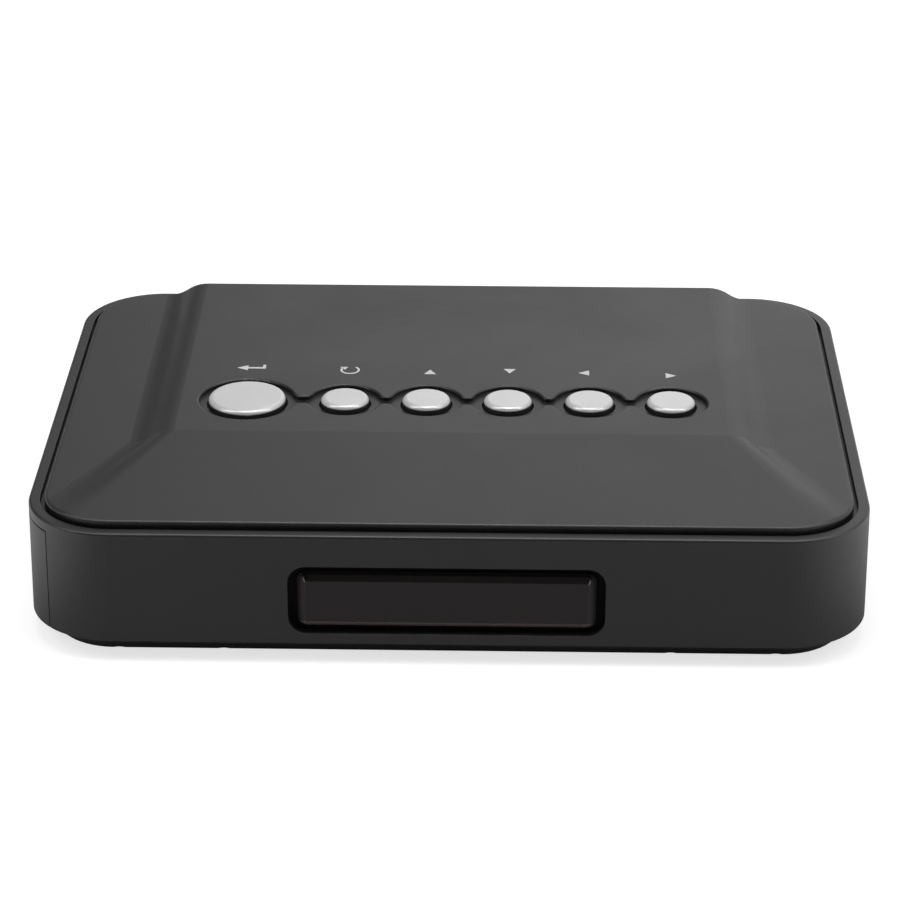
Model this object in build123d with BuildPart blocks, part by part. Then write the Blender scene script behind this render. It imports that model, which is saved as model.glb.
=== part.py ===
"""Small media player with a sliding tray for a 2.5 inch hard drive.

X runs to the right, Y to the back and Z up. The origin lies under the middle of the case, on the plane
that the rubber feet stand on. All sizes are in millimetres.
"""

from build123d import *

import math
import os

# ---------------------------------------------------------------- case
corner_radius = 13.25
right_room = 13.55  # from the upright board to the right wall
post_room = 1.05  # free width beside a post, between the tray guide and the wall
port_room = 1.1  # from the tallest socket's opening to the rim
band_draft = 0.6  # degrees, the band widens downwards
wall = 1.75
rim_rounding = 0.45
foot_stand = 0.5  # feet below the pan
pan_height = 3.0
pan_floor = 1.5
pan_inset = 0.9  # of the pan's top edge from the band
pan_slope = 2.5  # sideways run of the pan's sloped edge
pan_edge_width = 3.7  # of the ring that the band stands on
fit_gap = 0.3  # between pieces that move past each other

# ---------------------------------------------------------------- cover
groove_inset = 1.73  # from the rim's outside to the groove
groove_width = 0.7
cover_seat_depth = 1.1  # of the cover's seat below the rim
cover_edge_rise = 0.8  # of the cover's low shelf over the rim
cover_skin = 1.6
cover_rounding = 0.5
plateau_rise = 2.2  # over the low shelf
plateau_skin = 1.9
plateau_margin = 12.0  # from the last button to the middle of the plateau's side slope
slope_half = 3.5  # half the width of that slope
crease_inset = 30.5  # from the case's front to where the facet starts
facet_end_inset = 1.8  # from the case's front to the facet's lowest section
facet_inset = 3.4  # from the case's side to the middle of the slope there
facet_slope_half = 4.0
facet_rise = 0.12  # left at the facet's lowest section
ledge_height = 1.0
ledge_width = 3.25

# ---------------------------------------------------------------- buttons
button_row_y = -4.2
large_button_x = -32.9
first_small_x = -17.2
small_pitch = 13.05
small_names = ["return_button", "up_button", "down_button", "left_button", "right_button"]
large_radius = 6.2
small_radius = 3.875
cap_rise = 0.5  # over the plateau
cap_rounding = 0.75
button_gap = 0.3
button_travel = 0.45
flange_width = 0.9
flange_height = 0.7
stem_radius = 1.5
recess_depth = 0.8
large_recess_radius = 7.7
small_recess_radius = 5.8
recess_neck = 2.3  # width of the waist between two recesses
recess_rounding = 0.35

# ---------------------------------------------------------------- key board and switches
key_board_thickness = 1.0
key_board_drop = 3.6  # from the plateau's underside to the board
key_board_edge = (3.0, 2.0)  # past the posts, sideways and to the back
key_post_reach = (6.6, 4.5)  # past the first and the last button
key_post_y = 8.0  # from the button row
key_post_radius = 1.9
switch_side = 6.0
switch_height = 1.2
switch_bore = 1.15
plunger_radius = 0.95
plunger_seat = 0.5  # length inside the switch's body
press_play = 0.15  # left between a pressed stem and its switch
bore_play = 0.1  # left under a pressed plunger

# ---------------------------------------------------------------- window
window_width = 47.7
window_height = 11.2
window_corner = 2.75
window_drop = 5.1  # from the rim to the window's top
lens_width = 45.0
lens_height = 9.2
lens_corner = 1.5
lens_drop = 0.3  # of the lens's middle below the window's
lens_bevel = 1.2
lens_setback = 0.1
lens_flange = 1.4  # beyond the window on each side
lens_flange_thickness = 1.0

# ---------------------------------------------------------------- hard drive
drive_length = 100.2
drive_width = 69.85
drive_height = 7.0
drive_corner = 1.5
drive_lid_height = 0.5
drive_hole_height = 3.0
drive_hole_inset = (9.6, 14.0)  # from the front end and from the end with the connector
drive_hole_radius = 1.45
drive_screw_shank = 1.35
drive_screw_head = 2.2
drive_head_height = 0.9
drive_screw_length = 3.5
screw_clear_hole = 1.6
lid_edge = 0.6
drive_board_thickness = 1.0
drive_board_edge = 2.0
plug_y = -8.0
plug_width = 30.0
plug_notch_depth = 5.0
plug_tongue = 1.2
plug_tongue_rise = 1.1
plug_root = 2.0
plug_setback = 0.4
plug_shoulder = 1.0
plug_notch_half = 18.5
plug_notch_height = 3.8
drive_board_gap = 0.2
socket_play = 0.5
socket_wall = 0.5
socket_half = 19.0
socket_height = 4.3
socket_body = 6.3
riser_thickness = 1.2
riser_edge = 1.0
header_side = 2.5
header_half = 10.0

# ---------------------------------------------------------------- tray
tray_rise = 0.3  # of the tray's floor over the pan's edge
tray_floor = 0.8
tray_wall = 1.8
tray_wall_height = 7.0
tray_play = 0.2  # between the drive and the tray's walls
tray_end = 1.8  # of the tray past the drive
tray_front = 1.0
tray_sink = 1.0  # depth of the sinks for the drive's screws
tray_runner = 0.875  # sideways reach of the runner
tray_runner_height = 0.8
tray_slot_width = 8.0
tray_slot_length = 46.0
tray_slot_pitch = 14.0
tray_slot_count = 6
bezel_thickness = 1.5
bezel_lip = 1.65  # of the rim over the bezel
bezel_pad = 1.6
bezel_pad_half = 36.0
bezel_pad_height = 7.0
bezel_pad_rise = 0.7
bezel_screw_y = 28.0
bezel_screw_depth = 2.2
bezel_head_height = 0.6
seam_angle = 43.0  # how far the bezel wraps round each corner, in degrees
seam_gap = 0.2
inner_wall = 1.8
inner_wall_reach = 12.0  # how far it runs on past the seam, in degrees

# ---------------------------------------------------------------- guides and shelf
guide_wall = 1.775
guide_setback = 2.4  # of the guides' left ends from the pan's edge
riser_gap = 1.0  # from the guides' right ends to the upright board
shelf_thickness = 0.6
shelf_gap = 0.3
standoff_height = 1.0
standoff_radius = 2.0

# ---------------------------------------------------------------- posts and screws
post_gap = 0.1  # between a post and the guide
case_post_inset = 14.0  # from the case's side
guide_post_x = 34.0
post_radius = 2.5
post_hole = 1.25
post_web = 2.0
small_shank = 0.75
small_head = 1.6
small_thread_hole = 0.8
small_clear_hole = 0.95
key_screw_grip = 2.4
shelf_screw_grip = 4.0
guide_screw_grip = 3.5
case_screw_grip = 5.0
blind_end = 0.5  # left over a blind hole
low_head_height = 0.8
post_split = 11.5  # height of the case posts over the pan, where the cover's posts meet them
thread_hole = 1.05
screw_shank = 1.0
screw_head = 1.8
screw_head_height = 1.3
screw_recess_depth = 2.0
screw_recess_play = 0.2

# ---------------------------------------------------------------- main board
board_thickness = 1.0
board_left_inset = 8.0  # from the case's side
board_right_inset = 10.0
board_guide_inset = 1.0  # from the guides' outer faces
board_post_gap = 3.5  # from the posts to the part of the board between them
board_wall_gap = 0.55
board_front_half = 20.0
board_window_gap = 1.25
board_screw_inset = (6.0, 4.5, 4.0)  # from the board's left, the guides' right end and the board's sides

# ---------------------------------------------------------------- what stands on the main board
processor_x = 12.0
sink_gap = 1.0  # from the usb socket's back to the heat sink
processor_size = (17.0, 17.0, 1.4)
sink_side = 24.0
sink_base = 1.4
sink_fins = 9
sink_fin = 1.0
sink_pitch = 2.875
sink_fin_height = 3.0
memory_inset = 20.0  # from the board's right edge
memory_reach = (3.0, -12.0)  # from the processor to the back
memory_size = (9.0, 13.0, 1.1)
flash_reach = (-21.0, 2.0)  # from the processor
flash_size = (12.0, 18.0, 1.1)
capacitor_reach = ((-59.0, 7.0), (-59.0, -2.0), (-59.0, -11.0))  # from the processor
capacitor_radius = 3.15
capacitor_height = 5.4
inductor_reach = (-46.0, 10.0)  # from the processor
inductor_size = (7.0, 7.0, 3.0)
crystal_inset = 7.0  # from the board's right edge
crystal_reach = -4.0  # from the processor to the back
crystal_size = (11.0, 4.6, 3.5)
ribbon_x = -25.0
ribbon_width = 12.0
ribbon_thickness = 0.3
ribbon_straight = 2.5
ribbon_key_reach = 6.2  # from the button row to where the ribbon leaves the key board's socket
ribbon_run = 14.0
ribbon_socket_width = 14.0
ribbon_socket_depth = 4.0
ribbon_socket_height = 1.5

# ---------------------------------------------------------------- receiver and lamp
receiver_x = 12.0
receiver_width = 6.0
receiver_depth = 2.6
receiver_height = 5.0
receiver_low = 7.0
window_clearance = 0.55  # from the window to the receiver and the lamp
receiver_dome = 1.5
lead = 0.5
lead_pitch = 1.9
led_x = -12.0
led_z = 10.5
led_radius = 1.5
led_length = 4.0

# ---------------------------------------------------------------- sockets at the back
socket_setback = 0.8
socket_back = 1.5
port_gap = 0.2
port_corner = 0.7
dc_x = -36.0
av_x = -20.0
usb_x = 2.0
hdmi_x = 26.0
dc_size = (8.0, 12.0, 5.6)
dc_bore = 1.75
dc_depth = 9.0
dc_pin = 0.6
dc_pin_setback = 1.5
av_size = (6.6, 12.5, 5.6)
av_bore = 1.78
av_depth = 11.5
usb_size = (13.1, 14.0, 5.7)
usb_shell = 0.3
usb_tongue = (11.1, 8.8, 1.8)
usb_over_tongue = 0.6
hdmi_size = (15.0, 11.5, 5.2)
hdmi_shell = 0.35
hdmi_tongue = (11.2, 6.5, 0.9)

# ---------------------------------------------------------------- feet
foot_radius = 4.5
foot_thickness = 1.3
foot_inset = (16.0, 13.8)  # from the case's side and front
foot_play = 0.15

# ---------------------------------------------------------------- heights worked out from the above
pan_bottom = foot_stand
pan_top = pan_bottom + pan_height
floor_top = pan_bottom + pan_floor
tray_bottom = pan_top + tray_rise
tray_top = tray_bottom + tray_wall_height
drive_bottom = tray_bottom + tray_floor
drive_top = drive_bottom + drive_height
shelf_low = drive_top + shelf_gap
shelf_top = shelf_low + shelf_thickness
board_bottom = shelf_top + standoff_height
board_top = board_bottom + board_thickness
post_top = pan_top + post_split

band_top = board_top + max(dc_size[2], av_size[2], usb_size[2], hdmi_size[2]) + port_gap + port_room
band_height = band_top - pan_top
cover_seat = band_top - cover_seat_depth
shelf_face = band_top + cover_edge_rise
shelf_under = shelf_face - cover_skin
plateau_face = shelf_face + plateau_rise
plateau_under = plateau_face - plateau_skin
ledge_low = cover_seat - ledge_height
bezel_top = band_top - bezel_lip - seam_gap
cover_inset = groove_inset + groove_width

recess_floor = plateau_face - recess_depth
flange_top = plateau_under - button_gap
flange_bottom = flange_top - flange_height
key_board_top = plateau_under - key_board_drop
key_board_bottom = key_board_top - key_board_thickness
switch_top = key_board_top + switch_height
stem_bottom = switch_top + button_travel + press_play
plunger_bottom = switch_top - plunger_seat

# ---------------------------------------------------------------- plan worked out from the above
tray_inside = drive_width / 2 + tray_play
tray_outside = tray_inside + tray_wall
runner_outside = tray_outside + tray_runner
runner_low = tray_top - tray_runner_height
guide_inside = tray_outside + fit_gap
guide_outside = guide_inside + guide_wall
bay_half = runner_outside + fit_gap
half_depth = guide_outside + 2 * post_radius + post_room + wall
case_depth = 2 * half_depth

drive_from_left = bezel_thickness + bezel_pad + tray_front + bezel_head_height + fit_gap
case_width = drive_from_left + drive_length + socket_body + riser_thickness + right_room + wall
half_width = case_width / 2
band_flare = band_height * math.tan(math.radians(band_draft))
pad_face = -half_width + bezel_thickness + bezel_pad
tray_front_face = pad_face + tray_front
drive_front = -half_width + drive_from_left
drive_end = drive_front + drive_length
drive_holes_x = (drive_front + drive_hole_inset[0], drive_end - drive_hole_inset[1])
drive_hole_z = drive_bottom + drive_hole_height
bezel_screw_height = tray_bottom + bezel_pad_rise + bezel_pad_height / 2
tray_back = drive_end + tray_end
inner_wall_inset = bezel_thickness + fit_gap + inner_wall
riser_left = drive_end + socket_body
riser_right = riser_left + riser_thickness
guide_left = -half_width + pan_inset + pan_edge_width + guide_setback
guide_right = riser_left - riser_gap

crease_y = -half_depth + crease_inset
facet_end_y = -half_depth + facet_end_inset
facet_half = half_width - facet_inset
button_xs = [large_button_x] + [first_small_x + i * small_pitch for i in range(len(small_names))]
button_radii = [large_radius] + [small_radius] * len(small_names)
plateau_half = button_xs[-1] + plateau_margin
recess_radii = [large_recess_radius] + [small_recess_radius] * len(small_names)
window_middle = band_top - window_drop - window_height / 2
post_y = guide_outside + post_gap + post_radius
case_post_x = half_width - case_post_inset
case_posts = [(x, y) for x in (-case_post_x, case_post_x) for y in (-post_y, post_y)]
guide_posts = [(x, y) for x in (-guide_post_x, guide_post_x) for y in (-post_y, post_y)]
key_post_xs = (button_xs[0] - key_post_reach[0], button_xs[-1] + key_post_reach[1])
key_posts = [(x, button_row_y + y) for x in key_post_xs for y in (-key_post_y, key_post_y)]
board_left = -half_width + board_left_inset
board_right = half_width - board_right_inset
board_half_depth = guide_outside - board_guide_inset
board_rear_half = case_post_x - post_radius - board_post_gap
board_rear_y = half_depth - wall - board_wall_gap
window_back = -half_depth + wall + lens_flange_thickness
board_front_y = window_back + board_window_gap
board_screw_xs = (board_left + board_screw_inset[0], guide_right - board_screw_inset[1])
board_screw_y = board_half_depth - board_screw_inset[2]
board_screws_at = [(x, y) for x in board_screw_xs for y in (-board_screw_y, board_screw_y)]
foot_x = half_width - foot_inset[0]
foot_y = half_depth - foot_inset[1]
ribbon_key_y = button_row_y + ribbon_key_reach
ribbon_board_y = ribbon_key_y + ribbon_run
receiver_front = window_back + window_clearance + receiver_dome
led_back = window_back + window_clearance + led_length
socket_mouth = half_depth - socket_setback
processor_y = socket_mouth - usb_size[1] - sink_gap - sink_side / 2
memory_at = [(board_right - memory_inset, processor_y + y) for y in memory_reach]
flash_at = (processor_x + flash_reach[0], processor_y + flash_reach[1])
capacitors_at = [(processor_x + x, processor_y + y) for x, y in capacitor_reach]
inductor_at = (processor_x + inductor_reach[0], processor_y + inductor_reach[1])
crystal_at = (board_right - crystal_inset, processor_y + crystal_reach)


# ---------------------------------------------------------------- shared shapes
def case_outline(inset, mode=Mode.ADD):
    """Draw the case's outline, drawn in by inset."""
    RectangleRounded(case_width - 2 * inset, case_depth - 2 * inset, corner_radius - inset, mode=mode)


def slab(inset, low, high, mode=Mode.ADD):
    """Add or cut a slab with the case's outline between two heights."""
    with BuildSketch(Plane.XY.offset(low)) as section:
        case_outline(inset)
    extrude(section.sketch, amount=high - low, mode=mode)


def ring(outer_inset, inner_inset, low, high, mode=Mode.ADD):
    """Add or cut a ring that follows the case's outline between two heights."""
    with BuildSketch(Plane.XY.offset(low)) as section:
        case_outline(outer_inset)
        case_outline(inner_inset, mode=Mode.SUBTRACT)
    extrude(section.sketch, amount=high - low, mode=mode)


def block(low, high, mode=Mode.ADD):
    """Add or cut a box between its lowest and highest corners."""
    with Locations(low):
        Box(high[0] - low[0], high[1] - low[1], high[2] - low[2], align=(Align.MIN,) * 3, mode=mode)


def column(x, y, low, high, radius, mode=Mode.ADD):
    """Add or cut an upright cylinder between two heights."""
    with Locations((x, y, low)):
        Cylinder(radius, high - low, align=(Align.CENTER, Align.CENTER, Align.MIN), mode=mode)


def screw(seat, length, shank, head, head_height):
    """Add a cross-head screw whose head lies behind the plane seat, with its shank along the normal."""
    with BuildSketch(seat) as shank_section:
        Circle(shank)
    extrude(shank_section.sketch, amount=length)
    with BuildSketch(seat) as head_section:
        Circle(head)
    extrude(head_section.sketch, amount=-head_height)
    with BuildSketch(seat.offset(-head_height)) as cross:
        Rectangle(1.3 * head, 0.3 * head)
        Rectangle(0.3 * head, 1.3 * head)
    extrude(cross.sketch, amount=head_height / 2, mode=Mode.SUBTRACT)


def upward(x, y, z):
    """Give the plane of a screw that is driven up from below."""
    return Plane(origin=(x, y, z), x_dir=(1, 0, 0), z_dir=(0, 0, 1))


def downward(x, y, z):
    """Give the plane of a screw that is driven down from above."""
    return Plane(origin=(x, y, z), x_dir=(1, 0, 0), z_dir=(0, 0, -1))


def drafted_band():
    """Add the solid band of the case, which widens towards its foot."""
    with BuildSketch(Plane.XY.offset(pan_top)) as section:
        case_outline(-band_flare)
    extrude(section.sketch, amount=band_height, taper=band_draft)


def left_sector(angle):
    """Draw the left end of the case, out to an angle round each of its corners."""
    corner = (-half_width + corner_radius, half_depth - corner_radius)
    reach = 2 * corner_radius
    far_x = corner[0] - reach * math.cos(math.radians(angle))
    far_y = corner[1] + reach * math.sin(math.radians(angle))
    Polygon((corner[0], -corner[1]), corner, (far_x, far_y), (far_x, -far_y), align=None)


def cover_section(y, middle, slope, rise):
    """Draw a section across the cover: a low shelf, a soft slope on each side and the flat between them."""
    with BuildSketch(Plane.XZ.offset(-y)) as section:
        with BuildLine():
            left = Line((-middle - slope, cover_seat), (-middle - slope, shelf_face))
            left_foot = TangentArc(left @ 1, (-middle, shelf_face + rise / 2), tangent=(1, 0))
            left_crest = TangentArc((-middle + slope, shelf_face + rise), left_foot @ 1, tangent=(-1, 0))
            flat = Line(left_crest @ 0, (middle - slope, shelf_face + rise))
            right_crest = TangentArc(flat @ 1, (middle, shelf_face + rise / 2), tangent=(1, 0))
            right_foot = TangentArc((middle + slope, shelf_face), right_crest @ 1, tangent=(-1, 0))
            right = Line(right_foot @ 0, (middle + slope, cover_seat))
            Line(right @ 1, left @ 0)
        make_face()
    return section.sketch


def neck(first_x, first_radius, second_x, second_radius):
    """Join two round recesses in the button row by a waist whose sides are arcs tangent to both."""
    pitch = second_x - first_x
    base = (pitch**2 + first_radius**2 - second_radius**2) / (2 * pitch)
    lean = (first_radius - second_radius) / pitch
    linear = 2 * base * lean - 2 * first_radius + recess_neck
    constant = base**2 - first_radius**2 + recess_neck**2 / 4
    blend = 2 * constant / (-linear + math.sqrt(linear**2 - 4 * lean**2 * constant))
    middle_x = first_x + base + lean * blend
    reach = blend + recess_neck / 2
    Polygon((first_x, button_row_y), (middle_x, button_row_y - reach), (second_x, button_row_y),
            (middle_x, button_row_y + reach), align=None)
    with Locations((middle_x, button_row_y - reach), (middle_x, button_row_y + reach)):
        Circle(blend, mode=Mode.SUBTRACT)


def rear_port(x, width, height):
    """Cut an opening for a socket through the back of the case, standing on the board."""
    middle = board_top + height / 2
    with BuildSketch(Plane.XZ.offset(-half_depth - 1)) as section:
        with Locations((x, middle)):
            RectangleRounded(width + 2 * port_gap, height + 2 * port_gap, port_corner)
    extrude(section.sketch, amount=wall + 2, mode=Mode.SUBTRACT)


# ---------------------------------------------------------------- bottom pan
with BuildPart() as bottom_pan:
    slab(pan_inset, pan_bottom, pan_top)
    outer_edges = bottom_pan.edges().group_by(Axis.Z)[0]
    pan_face = bottom_pan.faces().sort_by(Axis.Z)[0]
    chamfer(outer_edges, length=pan_slope, length2=pan_height - 0.4, reference=pan_face)
    slab(pan_inset + pan_edge_width, floor_top, pan_top, mode=Mode.SUBTRACT)
    for x, y in case_posts + guide_posts:
        column(x, y, floor_top, pan_top, post_radius)
    for x, y in case_posts + guide_posts:
        recess_top = pan_bottom + screw_recess_depth
        column(x, y, pan_bottom, recess_top, screw_head + screw_recess_play, Mode.SUBTRACT)
        column(x, y, pan_bottom, pan_top, post_hole, Mode.SUBTRACT)
    for x in (-foot_x, foot_x):
        for y in (-foot_y, foot_y):
            column(x, y, pan_bottom, foot_thickness, foot_radius + foot_play, Mode.SUBTRACT)

with BuildPart() as rubber_feet:
    for x in (-foot_x, foot_x):
        for y in (-foot_y, foot_y):
            column(x, y, 0, foot_thickness, foot_radius)
    fillet(rubber_feet.edges().group_by(Axis.Z)[0], foot_stand / 2)

# ---------------------------------------------------------------- case frame
with BuildPart() as case_frame:
    drafted_band()
    rim_edges = case_frame.edges().group_by(Axis.Z)[-1]
    fillet(rim_edges, rim_rounding)
    slab(wall, pan_top, band_top, mode=Mode.SUBTRACT)
    ring(wall, wall + ledge_width, ledge_low, cover_seat)
    with BuildSketch(Plane.XY.offset(pan_top)) as left_wall:
        left_sector(seam_angle + inner_wall_reach)
        case_outline(wall, mode=Mode.INTERSECT)
        case_outline(inner_wall_inset, mode=Mode.SUBTRACT)
    extrude(left_wall.sketch, amount=cover_seat - pan_top)
    slab(groove_inset, cover_seat, band_top, mode=Mode.SUBTRACT)
    with BuildSketch(Plane.XY.offset(pan_top)) as bezel_pocket:
        left_sector(seam_angle + math.degrees(seam_gap / corner_radius))
        case_outline(bezel_thickness + fit_gap, mode=Mode.SUBTRACT)
    extrude(bezel_pocket.sketch, amount=bezel_top + seam_gap - pan_top, mode=Mode.SUBTRACT)
    block((-half_width, -bay_half, pan_top), (-half_width + inner_wall_inset + 1, bay_half, shelf_low),
          Mode.SUBTRACT)
    for x, y in case_posts:
        column(x, y, post_top, cover_seat, post_radius + fit_gap, Mode.SUBTRACT)
        column(x, y, pan_top, post_top, post_radius)
        wall_side = math.copysign(half_depth - wall, y)
        block((x - post_web / 2, min(y, wall_side), pan_top), (x + post_web / 2, max(y, wall_side), post_top))
        column(x, y, pan_top, post_top, post_hole, Mode.SUBTRACT)
    with BuildSketch(Plane.XZ.offset(half_depth + 1)) as window_hole:
        with Locations((0, window_middle)):
            RectangleRounded(window_width, window_height, window_corner)
    extrude(window_hole.sketch, amount=-wall - 2, mode=Mode.SUBTRACT)
    rear_port(dc_x, dc_size[0], dc_size[2])
    rear_port(av_x, av_size[0], av_size[2])
    rear_port(usb_x, usb_size[0], usb_size[2])
    rear_port(hdmi_x, hdmi_size[0], hdmi_size[2])
    block((-board_rear_half, half_depth - wall - ledge_width, ledge_low),
          (board_rear_half, half_depth - wall, cover_seat), Mode.SUBTRACT)

# ---------------------------------------------------------------- top cover
with BuildPart() as top_cover:
    facet_back = cover_section(crease_y, plateau_half, slope_half, plateau_rise)
    facet_front = cover_section(facet_end_y, facet_half, facet_slope_half, facet_rise)
    extrude(facet_back, amount=crease_y - half_depth)
    loft([facet_back, facet_front], ruled=True)
    slab(-fit_gap, cover_seat, shelf_face)
    slab(cover_inset, cover_seat, plateau_face + 1, mode=Mode.INTERSECT)
    upright_faces = top_cover.faces().filter_by(lambda face: abs(face.normal_at().Z) < 0.01)
    outer_edges = upright_faces.edges().filter_by(lambda edge: edge.bounding_box().min.Z > cover_seat + 0.1)
    fillet(outer_edges, cover_rounding)
    slab(cover_inset + cover_skin, cover_seat, shelf_under, mode=Mode.SUBTRACT)
    hollow_half = plateau_half - slope_half - plateau_skin / 2
    block((-hollow_half, crease_y + plateau_skin, shelf_under),
          (hollow_half, half_depth - cover_inset - plateau_skin, plateau_under), Mode.SUBTRACT)
    with BuildSketch(Plane.XY.offset(recess_floor)) as recess:
        for x, radius in zip(button_xs, recess_radii):
            with Locations((x, button_row_y)):
                Circle(radius)
        for first, second in zip(range(len(button_xs)), range(1, len(button_xs))):
            neck(button_xs[first], recess_radii[first], button_xs[second], recess_radii[second])
    extrude(recess.sketch, amount=recess_depth, mode=Mode.SUBTRACT)
    recess_edges = top_cover.edges().filter_by_position(Axis.Z, plateau_face - 0.01, plateau_face + 0.01)
    recess_edges = recess_edges.filter_by(
        lambda edge: abs(edge.center().Y - button_row_y) < large_recess_radius
        and abs(edge.center().X) < plateau_half - slope_half - 1)
    fillet(recess_edges, recess_rounding)
    for x, radius in zip(button_xs, button_radii):
        column(x, button_row_y, plateau_under, recess_floor, radius + button_gap, Mode.SUBTRACT)
    for x, y in case_posts:
        column(x, y, post_top, shelf_under, post_radius)
        column(x, y, post_top, shelf_under - blind_end, thread_hole, Mode.SUBTRACT)
    for x, y in key_posts:
        column(x, y, key_board_top, plateau_under, key_post_radius)
        column(x, y, key_board_top, plateau_under - blind_end, small_thread_hole, Mode.SUBTRACT)

# ---------------------------------------------------------------- window
with BuildPart() as ir_window:
    with BuildSketch(Plane.XZ.offset(half_depth - wall)) as pane:
        with Locations((0, window_middle - lens_drop)):
            RectangleRounded(lens_width, lens_height, lens_corner)
    extrude(pane.sketch, amount=wall - lens_setback)
    chamfer(ir_window.edges().group_by(Axis.Y)[0], lens_bevel)
    with BuildSketch(Plane.XZ.offset(half_depth - wall)) as flange:
        with Locations((0, window_middle)):
            RectangleRounded(window_width + 2 * lens_flange, window_height + 2 * lens_flange, window_corner)
    extrude(flange.sketch, amount=-lens_flange_thickness)


# ---------------------------------------------------------------- buttons
def button_cap(x, radius):
    """Make a round button with its flange under the cover and the stem that works its switch."""
    with BuildPart() as cap:
        column(x, button_row_y, flange_top, plateau_face + cap_rise, radius)
        fillet(cap.edges().sort_by(Axis.Z)[-1], cap_rounding)
        column(x, button_row_y, flange_bottom, flange_top, radius + flange_width)
        column(x, button_row_y, stem_bottom, flange_bottom, stem_radius)
    return cap.part


def switch_plunger(x):
    """Make the plunger that stands in the middle of a switch."""
    with BuildPart() as plunger:
        column(x, button_row_y, plunger_bottom, stem_bottom, plunger_radius)
    return plunger.part


with BuildPart() as key_switches:
    for x in button_xs:
        block((x - switch_side / 2, button_row_y - switch_side / 2, key_board_top),
              (x + switch_side / 2, button_row_y + switch_side / 2, switch_top))
        bore_bottom = plunger_bottom - button_travel - bore_play
        column(x, button_row_y, bore_bottom, switch_top, switch_bore, Mode.SUBTRACT)

with BuildPart() as key_board:
    key_board_half_depth = key_post_y + key_board_edge[1]
    block((key_post_xs[0] - key_board_edge[0], button_row_y - key_board_half_depth, key_board_bottom),
          (key_post_xs[1] + key_board_edge[0], button_row_y + key_board_half_depth, key_board_top))
    for x, y in key_posts:
        column(x, y, key_board_bottom, key_board_top, small_clear_hole, Mode.SUBTRACT)

with BuildPart() as key_board_screws:
    for x, y in key_posts:
        shank_length = key_board_thickness + key_screw_grip
        screw(upward(x, y, key_board_bottom), shank_length, small_shank, small_head, low_head_height)

# ---------------------------------------------------------------- tray and its bezel
with BuildPart() as tray_bezel:
    drafted_band()
    with BuildSketch(Plane.XY.offset(pan_top)) as bezel_plan:
        left_sector(seam_angle)
        case_outline(bezel_thickness, mode=Mode.SUBTRACT)
    extrude(bezel_plan.sketch, amount=bezel_top - pan_top, mode=Mode.INTERSECT)
    pad_low = tray_bottom + bezel_pad_rise
    block((-half_width + bezel_thickness, -bezel_pad_half, pad_low),
          (pad_face, bezel_pad_half, pad_low + bezel_pad_height))
    for y in (-bezel_screw_y, bezel_screw_y):
        with Locations(Plane(origin=(pad_face, y, bezel_screw_height), z_dir=(-1, 0, 0))):
            Cylinder(thread_hole, bezel_screw_depth + 0.3, mode=Mode.SUBTRACT,
                     align=(Align.CENTER, Align.CENTER, Align.MIN))

with BuildPart() as drive_tray:
    block((pad_face, -tray_outside, tray_bottom), (tray_back, tray_outside, drive_bottom))
    block((pad_face, -tray_outside, drive_bottom), (tray_front_face, tray_outside, tray_top))
    for side in (-1, 1):
        inner, outer, runner = side * tray_inside, side * tray_outside, side * runner_outside
        block((tray_front_face, min(inner, outer), drive_bottom),
              (tray_back, max(inner, outer), tray_top))
        block((tray_front_face, min(outer, runner), runner_low),
              (tray_back, max(outer, runner), tray_top))
        for x in drive_holes_x:
            with Locations(Plane(origin=(x, side * drive_width / 2, drive_hole_z), z_dir=(0, side, 0))):
                Cylinder(screw_clear_hole, tray_wall + 1, mode=Mode.SUBTRACT,
                         align=(Align.CENTER, Align.CENTER, Align.MIN))
            with Locations(Plane(origin=(x, outer, drive_hole_z), z_dir=(0, -side, 0))):
                Cylinder(drive_screw_head + screw_recess_play, tray_sink, mode=Mode.SUBTRACT,
                         align=(Align.CENTER, Align.CENTER, Align.MIN))
    with Locations(((drive_front + tray_back) / 2, 0, tray_bottom)):
        with GridLocations(tray_slot_pitch, 0, tray_slot_count, 1):
            Box(tray_slot_width, tray_slot_length, 3 * tray_floor, mode=Mode.SUBTRACT)
    for y in (-bezel_screw_y, bezel_screw_y):
        with Locations(Plane(origin=(pad_face, y, bezel_screw_height), z_dir=(1, 0, 0))):
            Cylinder(post_hole, tray_front, mode=Mode.SUBTRACT, align=(Align.CENTER, Align.CENTER, Align.MIN))

with BuildPart() as bezel_screws:
    for y in (-bezel_screw_y, bezel_screw_y):
        seat = Plane(origin=(tray_front_face, y, bezel_screw_height), x_dir=(0, 1, 0), z_dir=(-1, 0, 0))
        screw(seat, tray_front + bezel_screw_depth, screw_shank, screw_head, bezel_head_height)

with BuildPart() as drive_screws:
    for side in (-1, 1):
        for x in drive_holes_x:
            seat = Plane(origin=(x, side * (tray_outside - tray_sink), drive_hole_z), x_dir=(1, 0, 0),
                         z_dir=(0, -side, 0))
            screw(seat, drive_screw_length, drive_screw_shank, drive_screw_head, drive_head_height)

# ---------------------------------------------------------------- hard drive
drive_middle = (drive_front + drive_end) / 2
lid_low = drive_top - drive_lid_height
drive_board_top = drive_bottom + drive_board_gap + drive_board_thickness
notch_front = drive_end - plug_notch_depth

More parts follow.
